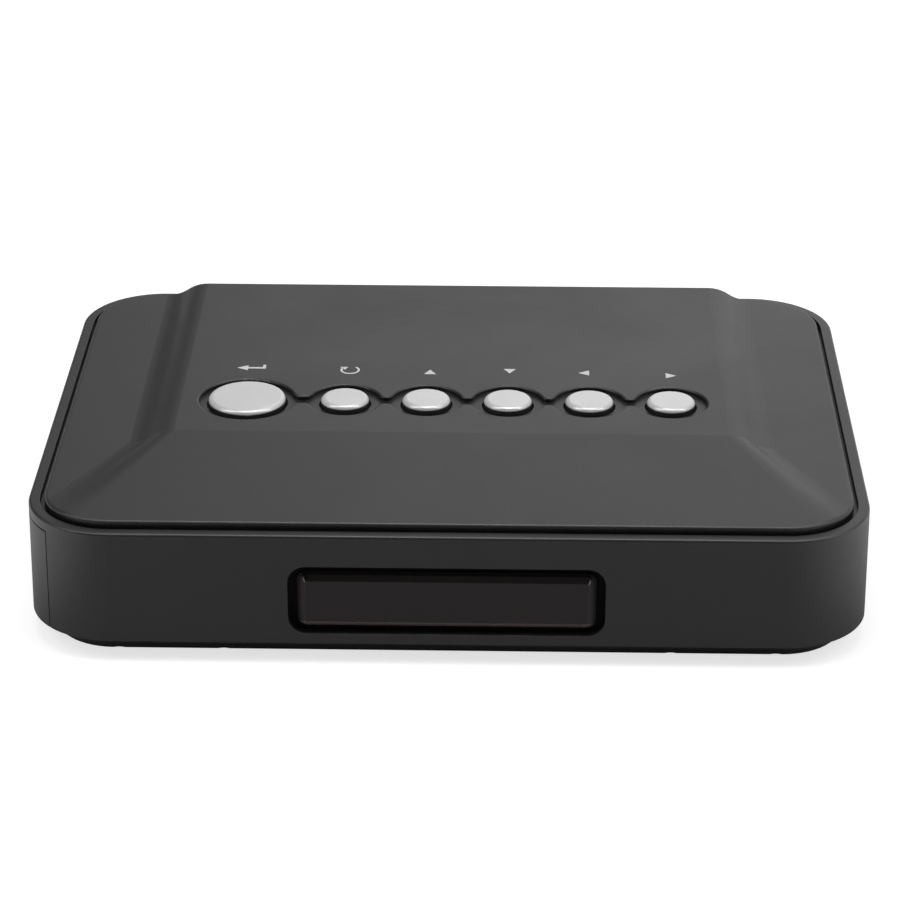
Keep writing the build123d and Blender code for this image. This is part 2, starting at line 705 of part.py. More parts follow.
with BuildPart() as drive_base:
    with BuildSketch(Plane.XY.offset(drive_bottom)) as drive_plan:
        with Locations((drive_middle, 0)):
            RectangleRounded(drive_length, drive_width, drive_corner)
    extrude(drive_plan.sketch, amount=drive_height - drive_lid_height)
    block((drive_front + drive_board_edge, -drive_width / 2 + drive_board_edge, drive_bottom),
          (drive_end, drive_width / 2 - drive_board_edge, drive_board_top), Mode.SUBTRACT)
    block((notch_front, plug_y - plug_notch_half, drive_bottom),
          (drive_end, plug_y + plug_notch_half, drive_board_top + plug_notch_height), Mode.SUBTRACT)
    for side in (-1, 1):
        for x in drive_holes_x:
            with Locations(Plane(origin=(x, side * drive_width / 2, drive_hole_z), z_dir=(0, -side, 0))):
                Cylinder(drive_hole_radius, drive_screw_length, mode=Mode.SUBTRACT,
                         align=(Align.CENTER, Align.CENTER, Align.MIN))

with BuildPart() as drive_lid:
    with BuildSketch(Plane.XY.offset(lid_low)) as lid_plan:
        with Locations((drive_middle, 0)):
            RectangleRounded(drive_length - 2 * lid_edge, drive_width - 2 * lid_edge, drive_corner)
    extrude(lid_plan.sketch, amount=drive_lid_height)

with BuildPart() as drive_board:
    board_edge = drive_board_edge + drive_board_gap
    board_half_width = drive_width / 2 - board_edge
    block((drive_front + board_edge, -board_half_width, drive_bottom + drive_board_gap),
          (drive_end - drive_board_gap, board_half_width, drive_board_top))

tongue_low = drive_board_top + plug_tongue_rise
tongue_high = tongue_low + plug_tongue
plug_half = plug_width / 2
with BuildPart() as drive_connector:
    block((notch_front, plug_y - plug_half - plug_shoulder, drive_board_top),
          (notch_front + plug_root, plug_y + plug_half + plug_shoulder, tongue_high + plug_tongue_rise))
    block((notch_front + plug_root, plug_y - plug_half, tongue_low),
          (drive_end - plug_setback, plug_y + plug_half, tongue_high))

# ---------------------------------------------------------------- drive socket on its upright board
socket_nose = notch_front + plug_root + socket_play
with BuildPart() as sata_socket:
    block((drive_end + fit_gap, plug_y - socket_half, drive_board_top + fit_gap),
          (riser_left, plug_y + socket_half, drive_board_top + fit_gap + socket_height))
    slot_half = plug_half + fit_gap
    nose_half = slot_half + socket_wall
    slot_low = tongue_low - fit_gap
    slot_high = tongue_high + fit_gap
    block((socket_nose, plug_y - nose_half, slot_low - socket_wall),
          (drive_end + fit_gap, plug_y + nose_half, slot_high + socket_wall))
    block((socket_nose, plug_y - slot_half, slot_low),
          (drive_end, plug_y + slot_half, slot_high), Mode.SUBTRACT)

with BuildPart() as sata_board:
    riser_half = socket_half + riser_edge
    block((riser_left, plug_y - riser_half, floor_top), (riser_right, plug_y + riser_half, board_bottom))

with BuildPart() as riser_header:
    block((riser_right, plug_y - header_half, board_bottom - header_side),
          (riser_right + header_side, plug_y + header_half, board_bottom))


# ---------------------------------------------------------------- tray guides
def tray_guide(side):
    """Make the guide on one side of the bay, with the groove that the tray's runner slides in."""
    ear_inner = side * guide_outside
    ear_outer = side * (post_y + post_radius)
    with BuildPart() as guide:
        block((guide_left, min(side * guide_inside, side * guide_outside), floor_top),
              (guide_right, max(side * guide_inside, side * guide_outside), shelf_low))
        block((guide_left, min(side * guide_inside, side * bay_half), runner_low - fit_gap),
              (guide_right, max(side * guide_inside, side * bay_half), tray_top + fit_gap),
              Mode.SUBTRACT)
        for x in (-guide_post_x, guide_post_x):
            block((x - post_radius, min(ear_inner, ear_outer), pan_top),
                  (x + post_radius, max(ear_inner, ear_outer), shelf_low))
            column(x, side * post_y, pan_top, shelf_low, thread_hole, Mode.SUBTRACT)
    return guide.part


# ---------------------------------------------------------------- shelf over the bay
with BuildPart() as bay_shelf:
    block((guide_left, -guide_outside, shelf_low), (guide_right, guide_outside, shelf_top))
    for x, y in guide_posts:
        ear_inner = math.copysign(guide_outside, y)
        ear_outer = math.copysign(post_y + post_radius, y)
        block((x - post_radius, min(ear_inner, ear_outer), shelf_low),
              (x + post_radius, max(ear_inner, ear_outer), shelf_top))
        column(x, y, shelf_low, shelf_top, post_hole, Mode.SUBTRACT)

with BuildPart() as board_standoffs:
    for x, y in board_screws_at:
        column(x, y, shelf_top, board_bottom, standoff_radius)
        column(x, y, shelf_top, board_bottom, small_thread_hole, Mode.SUBTRACT)

with BuildPart() as board_screws:
    for x, y in board_screws_at:
        shank_length = board_thickness + standoff_height
        screw(downward(x, y, board_top), shank_length, small_shank, small_head, low_head_height)

with BuildPart() as shelf_screws:
    for x, y in guide_posts:
        shank_length = shelf_thickness + shelf_screw_grip
        screw(downward(x, y, shelf_top), shank_length, screw_shank, screw_head, low_head_height)

with BuildPart() as guide_screws:
    for x, y in guide_posts:
        seat = upward(x, y, pan_bottom + screw_recess_depth)
        shank_length = pan_height - screw_recess_depth + guide_screw_grip
        screw(seat, shank_length, screw_shank, screw_head, screw_head_height)

with BuildPart() as case_screws:
    for x, y in case_posts:
        seat = upward(x, y, pan_bottom + screw_recess_depth)
        shank_length = post_top - seat.origin.Z + case_screw_grip
        screw(seat, shank_length, screw_shank, screw_head, screw_head_height)

# ---------------------------------------------------------------- main board and what it carries
with BuildPart() as main_board:
    block((board_left, -board_half_depth, board_bottom), (board_right, board_half_depth, board_top))
    block((-board_rear_half, board_half_depth, board_bottom), (board_rear_half, board_rear_y, board_top))
    block((-board_front_half, board_front_y, board_bottom), (board_front_half, -board_half_depth, board_top))
    for x, y in board_screws_at:
        column(x, y, board_bottom, board_top, small_clear_hole, Mode.SUBTRACT)


def part_on_board(middle, size):
    """Add a box that stands on the main board, given its middle in plan and its size."""
    block((middle[0] - size[0] / 2, middle[1] - size[1] / 2, board_top),
          (middle[0] + size[0] / 2, middle[1] + size[1] / 2, board_top + size[2]))


with BuildPart() as processor:
    part_on_board((processor_x, processor_y), processor_size)
    chamfer(processor.edges().group_by(Axis.Z)[-1], 0.2)

with BuildPart() as heat_sink:
    sink_low = board_top + processor_size[2]
    block((processor_x - sink_side / 2, processor_y - sink_side / 2, sink_low),
          (processor_x + sink_side / 2, processor_y + sink_side / 2, sink_low + sink_base))
    with Locations((processor_x, processor_y, sink_low + sink_base)):
        with GridLocations(sink_pitch, 0, sink_fins, 1):
            Box(sink_fin, sink_side, sink_fin_height, align=(Align.CENTER, Align.CENTER, Align.MIN))

with BuildPart() as memory_chips:
    for middle in memory_at:
        part_on_board(middle, memory_size)

with BuildPart() as flash_chip:
    part_on_board(flash_at, flash_size)

with BuildPart() as capacitors:
    for middle in capacitors_at:
        column(middle[0], middle[1], board_top, board_top + capacitor_height, capacitor_radius)
    fillet(capacitors.edges().group_by(Axis.Z)[-1], 0.4)

with BuildPart() as inductor:
    part_on_board(inductor_at, inductor_size)
    fillet(inductor.edges().filter_by(Axis.Z), 1.2)

with BuildPart() as clock_crystal:
    part_on_board(crystal_at, crystal_size)
    fillet(clock_crystal.edges().filter_by(Axis.Z), 2.0)

with BuildPart() as ribbon_sockets:
    places = ((ribbon_board_y, board_top),
              (ribbon_key_y - ribbon_socket_depth, key_board_bottom - ribbon_socket_height))
    for y_low, z_low in places:
        block((ribbon_x - ribbon_socket_width / 2, y_low, z_low),
              (ribbon_x + ribbon_socket_width / 2, y_low + ribbon_socket_depth, z_low + ribbon_socket_height))

with BuildPart() as ribbon_cable:
    ribbon_low = board_top + ribbon_socket_height / 2
    ribbon_high = key_board_bottom - ribbon_socket_height / 2
    ribbon_middle = ((ribbon_key_y + ribbon_board_y) / 2, (ribbon_low + ribbon_high) / 2)
    with BuildSketch(Plane.YZ.offset(ribbon_x - ribbon_width / 2)) as ribbon_side:
        with BuildLine():
            leave = Line((ribbon_key_y, ribbon_high), (ribbon_key_y + ribbon_straight, ribbon_high))
            drop = TangentArc(leave @ 1, ribbon_middle, tangent=(1, 0))
            arrive = Line((ribbon_board_y - ribbon_straight, ribbon_low), (ribbon_board_y, ribbon_low))
            TangentArc(arrive @ 0, drop @ 1, tangent=(-1, 0))
        trace(line_width=ribbon_thickness)
    extrude(ribbon_side.sketch, amount=ribbon_width)


# ---------------------------------------------------------------- sockets at the back
def socket_box(x, size, shell):
    """Add a socket's body with the mouth of its shell open to the back."""
    low = (x - size[0] / 2, socket_mouth - size[1], board_top)
    high = (x + size[0] / 2, socket_mouth, board_top + size[2])
    block(low, high)
    block((low[0] + shell, low[1] + socket_back, low[2] + shell), (high[0] - shell, high[1], high[2] - shell),
          Mode.SUBTRACT)


def socket_tongue(x, size, tongue, low):
    """Add the tongue inside a socket's shell."""
    back = socket_mouth - size[1] + socket_back
    block((x - tongue[0] / 2, back, low), (x + tongue[0] / 2, back + tongue[1], low + tongue[2]))


def round_socket(x, size, bore, depth):
    """Add a socket's body with a round bore open to the back."""
    block((x - size[0] / 2, socket_mouth - size[1], board_top),
          (x + size[0] / 2, socket_mouth, board_top + size[2]))
    with Locations(Plane(origin=(x, socket_mouth, board_top + size[2] / 2), z_dir=(0, -1, 0))):
        Cylinder(bore, depth, mode=Mode.SUBTRACT, align=(Align.CENTER, Align.CENTER, Align.MIN))


with BuildPart() as usb_socket:
    socket_box(usb_x, usb_size, usb_shell)
    tongue_z = board_top + usb_size[2] - usb_shell - usb_over_tongue - usb_tongue[2]
    socket_tongue(usb_x, usb_size, usb_tongue, tongue_z)

with BuildPart() as hdmi_socket:
    socket_box(hdmi_x, hdmi_size, hdmi_shell)
    socket_tongue(hdmi_x, hdmi_size, hdmi_tongue, board_top + (hdmi_size[2] - hdmi_tongue[2]) / 2)

with BuildPart() as av_jack:
    round_socket(av_x, av_size, av_bore, av_depth)

with BuildPart() as dc_jack:
    round_socket(dc_x, dc_size, dc_bore, dc_depth)
    pin_foot = (dc_x, socket_mouth - dc_depth, board_top + dc_size[2] / 2)
    with Locations(Plane(origin=pin_foot, z_dir=(0, 1, 0))):
        Cylinder(dc_pin, dc_depth - dc_pin_setback, align=(Align.CENTER, Align.CENTER, Align.MIN))

# ---------------------------------------------------------------- receiver and lamp behind the window
with BuildPart() as ir_receiver:
    block((receiver_x - receiver_width / 2, receiver_front, receiver_low),
          (receiver_x + receiver_width / 2, receiver_front + receiver_depth, receiver_low + receiver_height))
    with Locations((receiver_x, receiver_front, receiver_low + receiver_height / 2)):
        Sphere(receiver_dome)
    for x in (receiver_x - lead_pitch, receiver_x, receiver_x + lead_pitch):
        block((x - lead / 2, receiver_front + receiver_depth / 2, receiver_low + receiver_height),
              (x + lead / 2, receiver_front + receiver_depth / 2 + lead, board_bottom))

with BuildPart() as status_led:
    with Locations(Plane(origin=(led_x, led_back, led_z), z_dir=(0, -1, 0))):
        Cylinder(led_radius, led_length, align=(Align.CENTER, Align.CENTER, Align.MIN))
    fillet(status_led.edges().group_by(Axis.Y)[0], led_radius * 0.8)
    for x in (led_x - lead_pitch / 2, led_x + lead_pitch / 2):
        block((x - lead / 2, led_back - 2 * lead, led_z), (x + lead / 2, led_back - lead, board_bottom))

# ---------------------------------------------------------------- every piece, by name
pieces = {
    "case_frame": case_frame.part,
    "bottom_pan": bottom_pan.part,
    "top_cover": top_cover.part,
    "ir_window": ir_window.part,
    "rubber_feet": rubber_feet.part,
    "enter_button": button_cap(large_button_x, large_radius),
    "enter_plunger": switch_plunger(large_button_x),
    "key_switches": key_switches.part,
    "key_board": key_board.part,
    "key_board_screws": key_board_screws.part,
    "tray_bezel": tray_bezel.part,
    "drive_tray": drive_tray.part,
    "bezel_screws": bezel_screws.part,
    "drive_screws": drive_screws.part,
    "drive_base": drive_base.part,
    "drive_lid": drive_lid.part,
    "drive_board": drive_board.part,
    "drive_connector": drive_connector.part,
    "sata_socket": sata_socket.part,
    "sata_board": sata_board.part,
    "riser_header": riser_header.part,
    "front_tray_guide": tray_guide(-1),
    "rear_tray_guide": tray_guide(1),
    "bay_shelf": bay_shelf.part,
    "board_standoffs": board_standoffs.part,
    "board_screws": board_screws.part,
    "shelf_screws": shelf_screws.part,
    "guide_screws": guide_screws.part,
    "case_screws": case_screws.part,
    "main_board": main_board.part,
    "processor": processor.part,
    "heat_sink": heat_sink.part,
    "memory_chips": memory_chips.part,
    "flash_chip": flash_chip.part,
    "capacitors": capacitors.part,
    "inductor": inductor.part,
    "clock_crystal": clock_crystal.part,
    "ribbon_sockets": ribbon_sockets.part,
    "ribbon_cable": ribbon_cable.part,
    "usb_socket": usb_socket.part,
    "hdmi_socket": hdmi_socket.part,
    "av_jack": av_jack.part,
    "dc_jack": dc_jack.part,
    "ir_receiver": ir_receiver.part,
    "status_led": status_led.part,
}
for button_name, x in zip(small_names, button_xs[1:]):
    pieces[button_name] = button_cap(x, small_radius)
    pieces[button_name.replace("button", "plunger")] = switch_plunger(x)

os.makedirs("parts", exist_ok=True)
for name, piece in pieces.items():
    piece.label = name
    export_step(piece, f"parts/{name}.step")
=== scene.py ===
"""The looks of a small media player with a hard drive tray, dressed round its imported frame.

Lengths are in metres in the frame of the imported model: X to the right, Y to the back and Z up.
Fields whose names end in _mm are in millimetres.
"""

import logging
import math
from dataclasses import dataclass
from enum import Enum

import bmesh
import bpy
from mathutils import Matrix, Vector


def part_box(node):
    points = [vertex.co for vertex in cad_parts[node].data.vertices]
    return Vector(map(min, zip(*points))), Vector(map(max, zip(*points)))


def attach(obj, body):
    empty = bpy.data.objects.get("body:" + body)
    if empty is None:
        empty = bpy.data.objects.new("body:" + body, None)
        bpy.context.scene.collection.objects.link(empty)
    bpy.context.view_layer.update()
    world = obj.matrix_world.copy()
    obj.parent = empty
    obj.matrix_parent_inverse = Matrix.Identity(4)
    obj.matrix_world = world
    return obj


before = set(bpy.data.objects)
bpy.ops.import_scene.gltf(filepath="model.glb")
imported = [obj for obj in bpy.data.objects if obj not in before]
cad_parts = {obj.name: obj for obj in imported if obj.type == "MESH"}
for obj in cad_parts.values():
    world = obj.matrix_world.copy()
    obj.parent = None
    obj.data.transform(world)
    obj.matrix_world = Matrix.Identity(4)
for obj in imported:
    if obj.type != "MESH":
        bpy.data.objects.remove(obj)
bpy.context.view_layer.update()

log = logging.getLogger("player")

MM = 0.001
WHITE = (1.0, 1.0, 1.0)
NODES_PER_ROW = 9
NODE_STEP = (200, -220)
BEVEL_SAMPLES = 4
FULL_TURN = 360

Colour = tuple[float, float, float]
Point = tuple[float, float, float]
Span = tuple[float, float]
Loop = list[Span]
Mesh = bmesh.types.BMesh
Node = bpy.types.Node
Socket = bpy.types.NodeSocket
Tree = bpy.types.NodeTree


# ---------------------------------------------------------------- shader trees
class NodeBench:
    """Adds and joins the nodes of one shader tree."""

    def __init__(self, tree: Tree) -> None:
        """Take the tree that the nodes go into."""
        self.tree = tree

    def add(self, kind: str, inputs: dict | None = None, **settings: object) -> Node:
        """Add a node, then set or join its inputs.

        Args:
            kind: The node's type without its ShaderNode prefix.
            inputs: Values or sockets, by the name or place of the input.
            settings: The node's own properties.

        Returns:
            The new node.
        """
        made = self.tree.nodes.new("ShaderNode" + kind)
        row, column = divmod(len(self.tree.nodes), NODES_PER_ROW)
        made.location = (NODE_STEP[0] * column, NODE_STEP[1] * row)
        for name, value in settings.items():
            setattr(made, name, value)
        for name, value in (inputs or {}).items():
            self.feed(made.inputs[name], value)
        return made

    def feed(self, socket: Socket, value: object) -> None:
        """Join a socket to another one, or set it to a plain value.

        Args:
            socket: The input.
            value: The output that feeds it, or its number or colour.
        """
        if isinstance(value, Socket):
            self.tree.links.new(value, socket)
        elif socket.type == "RGBA" and len(value) == 3:
            socket.default_value = (*value, 1.0)
        else:
            socket.default_value = value

    def group(self, effect: Tree, inputs: dict) -> Node:
        """Place a shared effect with its own values."""
        return self.add("Group", inputs, node_tree=effect)

    def place(self) -> Socket:
        """Give the place on the object."""
        return self.add("TexCoord").outputs["Object"]

    def normal(self) -> Socket:
        """Give the surface's own normal."""
        return self.add("NewGeometry").outputs["Normal"]

    def parts(self, vector: Socket) -> bpy.types.NodeOutputs:
        """Split a vector into its X, Y and Z."""
        return self.add("SeparateXYZ", {"Vector": vector}).outputs

    def calculate(self, operation: str, first: object, second: object = 0.0) -> Socket:
        """Work out one number from two.

        Args:
            operation: The name of the operation.
            first: A number or socket.
            second: A number or socket.

        Returns:
            The result's socket.
        """
        return self.add("Math", {0: first, 1: second}, operation=operation).outputs[0]

    def blend(self, share: object, first: object, second: object) -> Socket:
        """Blend two colours.

        Args:
            share: How much of the second colour shows.
            first: A colour or socket.
            second: A colour or socket.

        Returns:
            The blended colour's socket.
        """
        return self.add("Mix", {0: share, 6: first, 7: second}, data_type="RGBA").outputs[2]

    def spread(self, value: object, low: float, high: float, bottom: float = 0.0,
               top: float = 1.0) -> Socket:
        """Stretch a number from one range to another.

        Args:
            value: The number's socket.
            low: The result where the number is at its bottom.
            high: The result where it is at its top.
            bottom: The number's bottom.
            top: The number's top.

        Returns:
            The result's socket.
        """
        ends = {"Value": value, "From Min": bottom, "From Max": top, "To Min": low, "To Max": high}
        return self.add("MapRange", ends).outputs["Result"]

    def rise(self, value: object, levels: Span) -> Socket:
        """Make a mask that grows from 0 to 1 between two levels."""
        return self.spread(value, 0.0, 1.0, *levels)

    def fall(self, value: object, levels: Span) -> Socket:
        """Make a mask that drops from 1 to 0 between two levels."""
        return self.spread(value, 1.0, 0.0, *levels)

    def noise(self, scale: object, detail: float, roughness: float = 0.5,
              distortion: float = 0.0, place: Socket | None = None) -> Socket:
        """Give cloudy noise.

        Args:
            scale: Cells per metre, a number or socket.
            detail: How many finer layers it has.
            roughness: How strong the finer layers are.
            distortion: How far it is pushed about.
            place: Where it is read, or None for the place on the object.

        Returns:
            The noise's socket.
        """
        return self.add("TexNoise", {
            "Vector": self.place() if place is None else place, "Scale": scale, "Detail": detail,
            "Roughness": roughness, "Distortion": distortion}).outputs["Fac"]

    def bands(self, place: Socket, pitch_mm: float, axis: str) -> Socket:
        """Give soft bands that follow each other along an axis.

        Args:
            place: The place on the object.
            pitch_mm: How far the bands are apart.
            axis: The name of the axis.

        Returns:
            The bands' socket.
        """
        return self.add("TexWave", {"Vector": place, "Scale": 0.5 / (pitch_mm * MM) / math.pi},
                        wave_type="BANDS", bands_direction=axis).outputs["Fac"]

    def rounded(self, radius: object) -> Socket:
        """Give the normal of edges rounded to a radius in metres."""
        return self.add("Bevel", {"Radius": radius}, samples=BEVEL_SAMPLES).outputs["Normal"]

    def bump(self, height: Socket, depth_mm: float, strength: float = 1.0,
             normal: Socket | None = None) -> Socket:
        """Raise the surface by a height.

        Args:
            height: The height's socket.
            depth_mm: How deep the relief is.
            strength: How much of it shows.
            normal: The normal that it adds to, or None for the surface's own.

        Returns:
            The new normal's socket.
        """
        inputs = {"Height": height, "Distance": depth_mm * MM, "Strength": strength}
        if normal is not None:
            inputs["Normal"] = normal
        return self.add("Bump", inputs).outputs["Normal"]


def clear_bench(owner: bpy.types.Material | bpy.types.World) -> NodeBench:
    """Empty the node tree of a material or world and give a bench for it.

    Args:
        owner: The material or world.

    Returns:
        The bench.
    """
    owner.use_nodes = True
    owner.node_tree.nodes.clear()
    return NodeBench(owner.node_tree)


class SharedEffect:
    """Makes each node group once and hands it out to the materials that use it."""

    made: dict[str, Tree] = {}
    mottle_levels: Span = (0.3, 0.7)
    edge_levels: Span = (0.9, 0.995)
    patches_per_metre: float = 350.0
    patch_levels: Span = (0.42, 0.62)
    smear_levels: Span = (0.35, 0.7)
    line_stretch: Point = (0.012, 1.0, 1.0)

    @classmethod
    def start(cls, name: str, inputs: dict[str, float], outputs: list[str]
              ) -> tuple[NodeBench, bpy.types.NodeOutputs, bpy.types.NodeInputs]:
        """Open a new group with its sockets.

        Args:
            name: The group's name.
            inputs: The default of each input, by its name.
            outputs: The names of the outputs.

        Returns:
            A bench for the group's nodes, what the group is given and what it gives out.
        """
        tree = bpy.data.node_groups.new(name, "ShaderNodeTree")
        kind = "NodeSocketFloat"
        for socket, value in inputs.items():
            made = tree.interface.new_socket(name=socket, in_out="INPUT", socket_type=kind)
            made.default_value = value
        for socket in outputs:
            tree.interface.new_socket(name=socket, in_out="OUTPUT", socket_type=kind)
        given = tree.nodes.new("NodeGroupInput").outputs
        out = tree.nodes.new("NodeGroupOutput").inputs
        cls.made[name] = tree
        return NodeBench(tree), given, out

    @classmethod
    def grain(cls) -> Tree:
        """Make the fine moulded grain: its height, and a slow mottle of the tone.

        Returns:
            The node group.
        """
        name = "moulded grain"
        if name not in cls.made:
            defaults = {"Cells per metre": 4000.0, "Mottle per metre": 60.0}
            bench, given, out = cls.start(name, defaults, ["Height", "Mottle"])
            fine = bench.noise(given["Cells per metre"], detail=2.0, roughness=0.55)
            slow = bench.noise(given["Mottle per metre"], detail=4.0, roughness=0.6)
            bench.feed(out["Height"], fine)
            bench.feed(out["Mottle"], bench.rise(slow, cls.mottle_levels))
        return cls.made[name]

    @classmethod
    def wear(cls) -> Tree:
        """Make the mask of edges that handling has rubbed, broken up along their length.

        Returns:
            The node group.
        """
        name = "edge wear"
        if name not in cls.made:
            bench, given, out = cls.start(name, {"Width": 0.0003, "Amount": 0.3}, ["Mask"])
            sides = {0: bench.rounded(given["Width"]), 1: bench.normal()}
            likeness = bench.add("VectorMath", sides, operation="DOT_PRODUCT").outputs["Value"]
            edge = bench.fall(likeness, cls.edge_levels)
            patch = bench.rise(bench.noise(cls.patches_per_metre, detail=5.0), cls.patch_levels)
            broken = bench.calculate("MULTIPLY", edge, patch)
            bench.feed(out["Mask"], bench.calculate("MULTIPLY", broken, given["Amount"]))
        return cls.made[name]

    @classmethod
    def smudges(cls) -> Tree:
        """Make the mask of the faint smears and dust that lie on a handled surface.

        Returns:
            The node group.
        """
        name = "smudges"
        if name not in cls.made:
            bench, given, out = cls.start(name, {"Smears per metre": 25.0}, ["Mask"])
            smear = bench.noise(given["Smears per metre"], detail=6.0, roughness=0.65,
                                distortion=0.6)
            bench.feed(out["Mask"], bench.rise(smear, cls.smear_levels))
        return cls.made[name]

    @classmethod
    def lines(cls) -> Tree:
        """Make the fine lines that rolling, drawing or brushing leaves along X.

        Returns:
            The node group.
        """
        name = "worked lines"
        if name not in cls.made:
            bench, given, out = cls.start(name, {"Lines per metre": 9000.0}, ["Height"])
            drawn = bench.add("VectorMath", {0: bench.place(), 1: cls.line_stretch},
                              operation="MULTIPLY").outputs[0]
            bench.feed(out["Height"], bench.noise(given["Lines per metre"], detail=3.0,
                                                  roughness=0.6, place=drawn))
        return cls.made[name]


# ---------------------------------------------------------------- finishes
def shade_of(colour: Colour, strength: float) -> Colour:
    """Give a colour made lighter or darker by a factor."""
    return tuple(min(1.0, part * strength) for part in colour)


@dataclass(frozen=True)
class Finish:
    """What every finish has: a name, a colour and how rough it is."""

    name: str
    colour: Colour
    roughness: float

    def material(self) -> bpy.types.Material:
        """Give the finish's material, made the first time that it is asked for.

        Returns:
            The material.
        """
        known = bpy.data.materials.get(self.name)
        if known is not None:
            return known
        made = bpy.data.materials.new(self.name)
        bench = clear_bench(made)
        bench.add("OutputMaterial", {"Surface": self.shader(bench).outputs[0]})
        made.diffuse_color = (*self.colour, 1.0)
        return made

    def shader(self, bench: NodeBench) -> Node:
        """Build the finish's shader, which each kind of finish does in its own way."""
        raise NotImplementedError

    def uneven(self, bench: NodeBench, change: float, smears_per_metre: float = 25.0) -> Socket:
        """Let smudges change the roughness.

        Args:
            bench: The material's bench.
            change: How far the roughness rises and falls.
            smears_per_metre: How close the smudges lie.

        Returns:
            The roughness socket.
        """
        smudges = bench.group(SharedEffect.smudges(), {"Smears per metre": smears_per_metre})
        return bench.spread(smudges.outputs["Mask"], self.roughness - change,
                            self.roughness + change)


@dataclass(frozen=True)
class MouldedPlastic(Finish):
    """Matte plastic with the fine grain of its mould and edges that handling has rubbed."""

    specular: float = 0.4
    cell_mm: float = 0.28
    grain_depth_mm: float = 0.006
    mottle: float = 0.12
    mottle_per_metre: float = 60.0
    rounding_mm: float = 0.12
    wear: float = 0.25
    wear_mm: float = 0.3
    worn: Colour = (0.08, 0.08, 0.082)
    unevenness: float = 0.04

    def shader(self, bench: NodeBench) -> Node:
        """Build the grain, the mottle, the smudges and the rubbed edges.

        Args:
            bench: The material's bench.

        Returns:
            The last node.
        """
        grain = bench.group(SharedEffect.grain(), {
            "Cells per metre": 1 / (self.cell_mm * MM), "Mottle per metre": self.mottle_per_metre})
        rubbed = bench.group(SharedEffect.wear(), {
            "Width": self.wear_mm * MM, "Amount": self.wear})
        tone = bench.blend(grain.outputs["Mottle"], shade_of(self.colour, 1 - self.mottle),
                           shade_of(self.colour, 1 + self.mottle))
        colour = bench.blend(rubbed.outputs["Mask"], tone, self.worn)
        normal = bench.bump(grain.outputs["Height"], self.grain_depth_mm,
                            normal=bench.rounded(self.rounding_mm * MM))
        return bench.add("BsdfPrincipled", {
            "Base Color": colour, "Roughness": self.uneven(bench, self.unevenness),
            "Specular IOR Level": self.specular, "Normal": normal})


@dataclass(frozen=True)
class SatinKey(Finish):
    """Satin silver paint over a plastic key, with a fine metal flake and painted shade on its sides.
    """

    metallic: float = 0.35
    flake_mm: float = 0.05
    flake_depth_mm: float = 0.0015
    mottle: float = 0.04
    mottle_per_metre: float = 180.0
    wear: float = 0.2
    wear_mm: float = 0.25
    worn_shine: float = 1.2
    painted_skirt_shade: Colour = (0.035, 0.035, 0.035)
    painted_skirt_shade_levels: Span = (0.1, 0.3)
    unevenness: float = 0.03

    def shader(self, bench: NodeBench) -> Node:
        """Build the flake, the smudges and the rubbed edge of the top, and paint shade on the sides.

        Args:
            bench: The material's bench.

        Returns:
            The last node.
        """
        grain = bench.group(SharedEffect.grain(), {
            "Cells per metre": 1 / (self.flake_mm * MM), "Mottle per metre": self.mottle_per_metre})
        rubbed = bench.group(SharedEffect.wear(), {
            "Width": self.wear_mm * MM, "Amount": self.wear})
        tone = bench.blend(grain.outputs["Mottle"], shade_of(self.colour, 1 - self.mottle),
                           shade_of(self.colour, 1 + self.mottle))
        painted = bench.blend(rubbed.outputs["Mask"], tone, shade_of(self.colour, self.worn_shine))
        # Painted shade: faces turned to the side are blended to near black, standing in for the
        # shade in the gap round the key.
        upward = bench.parts(bench.normal())["Z"]
        colour = bench.blend(bench.fall(upward, self.painted_skirt_shade_levels), painted, self.painted_skirt_shade)
        return bench.add("BsdfPrincipled", {
            "Base Color": colour, "Metallic": self.metallic,
            "Roughness": self.uneven(bench, self.unevenness),
            "Normal": bench.bump(grain.outputs["Height"], self.flake_depth_mm)})


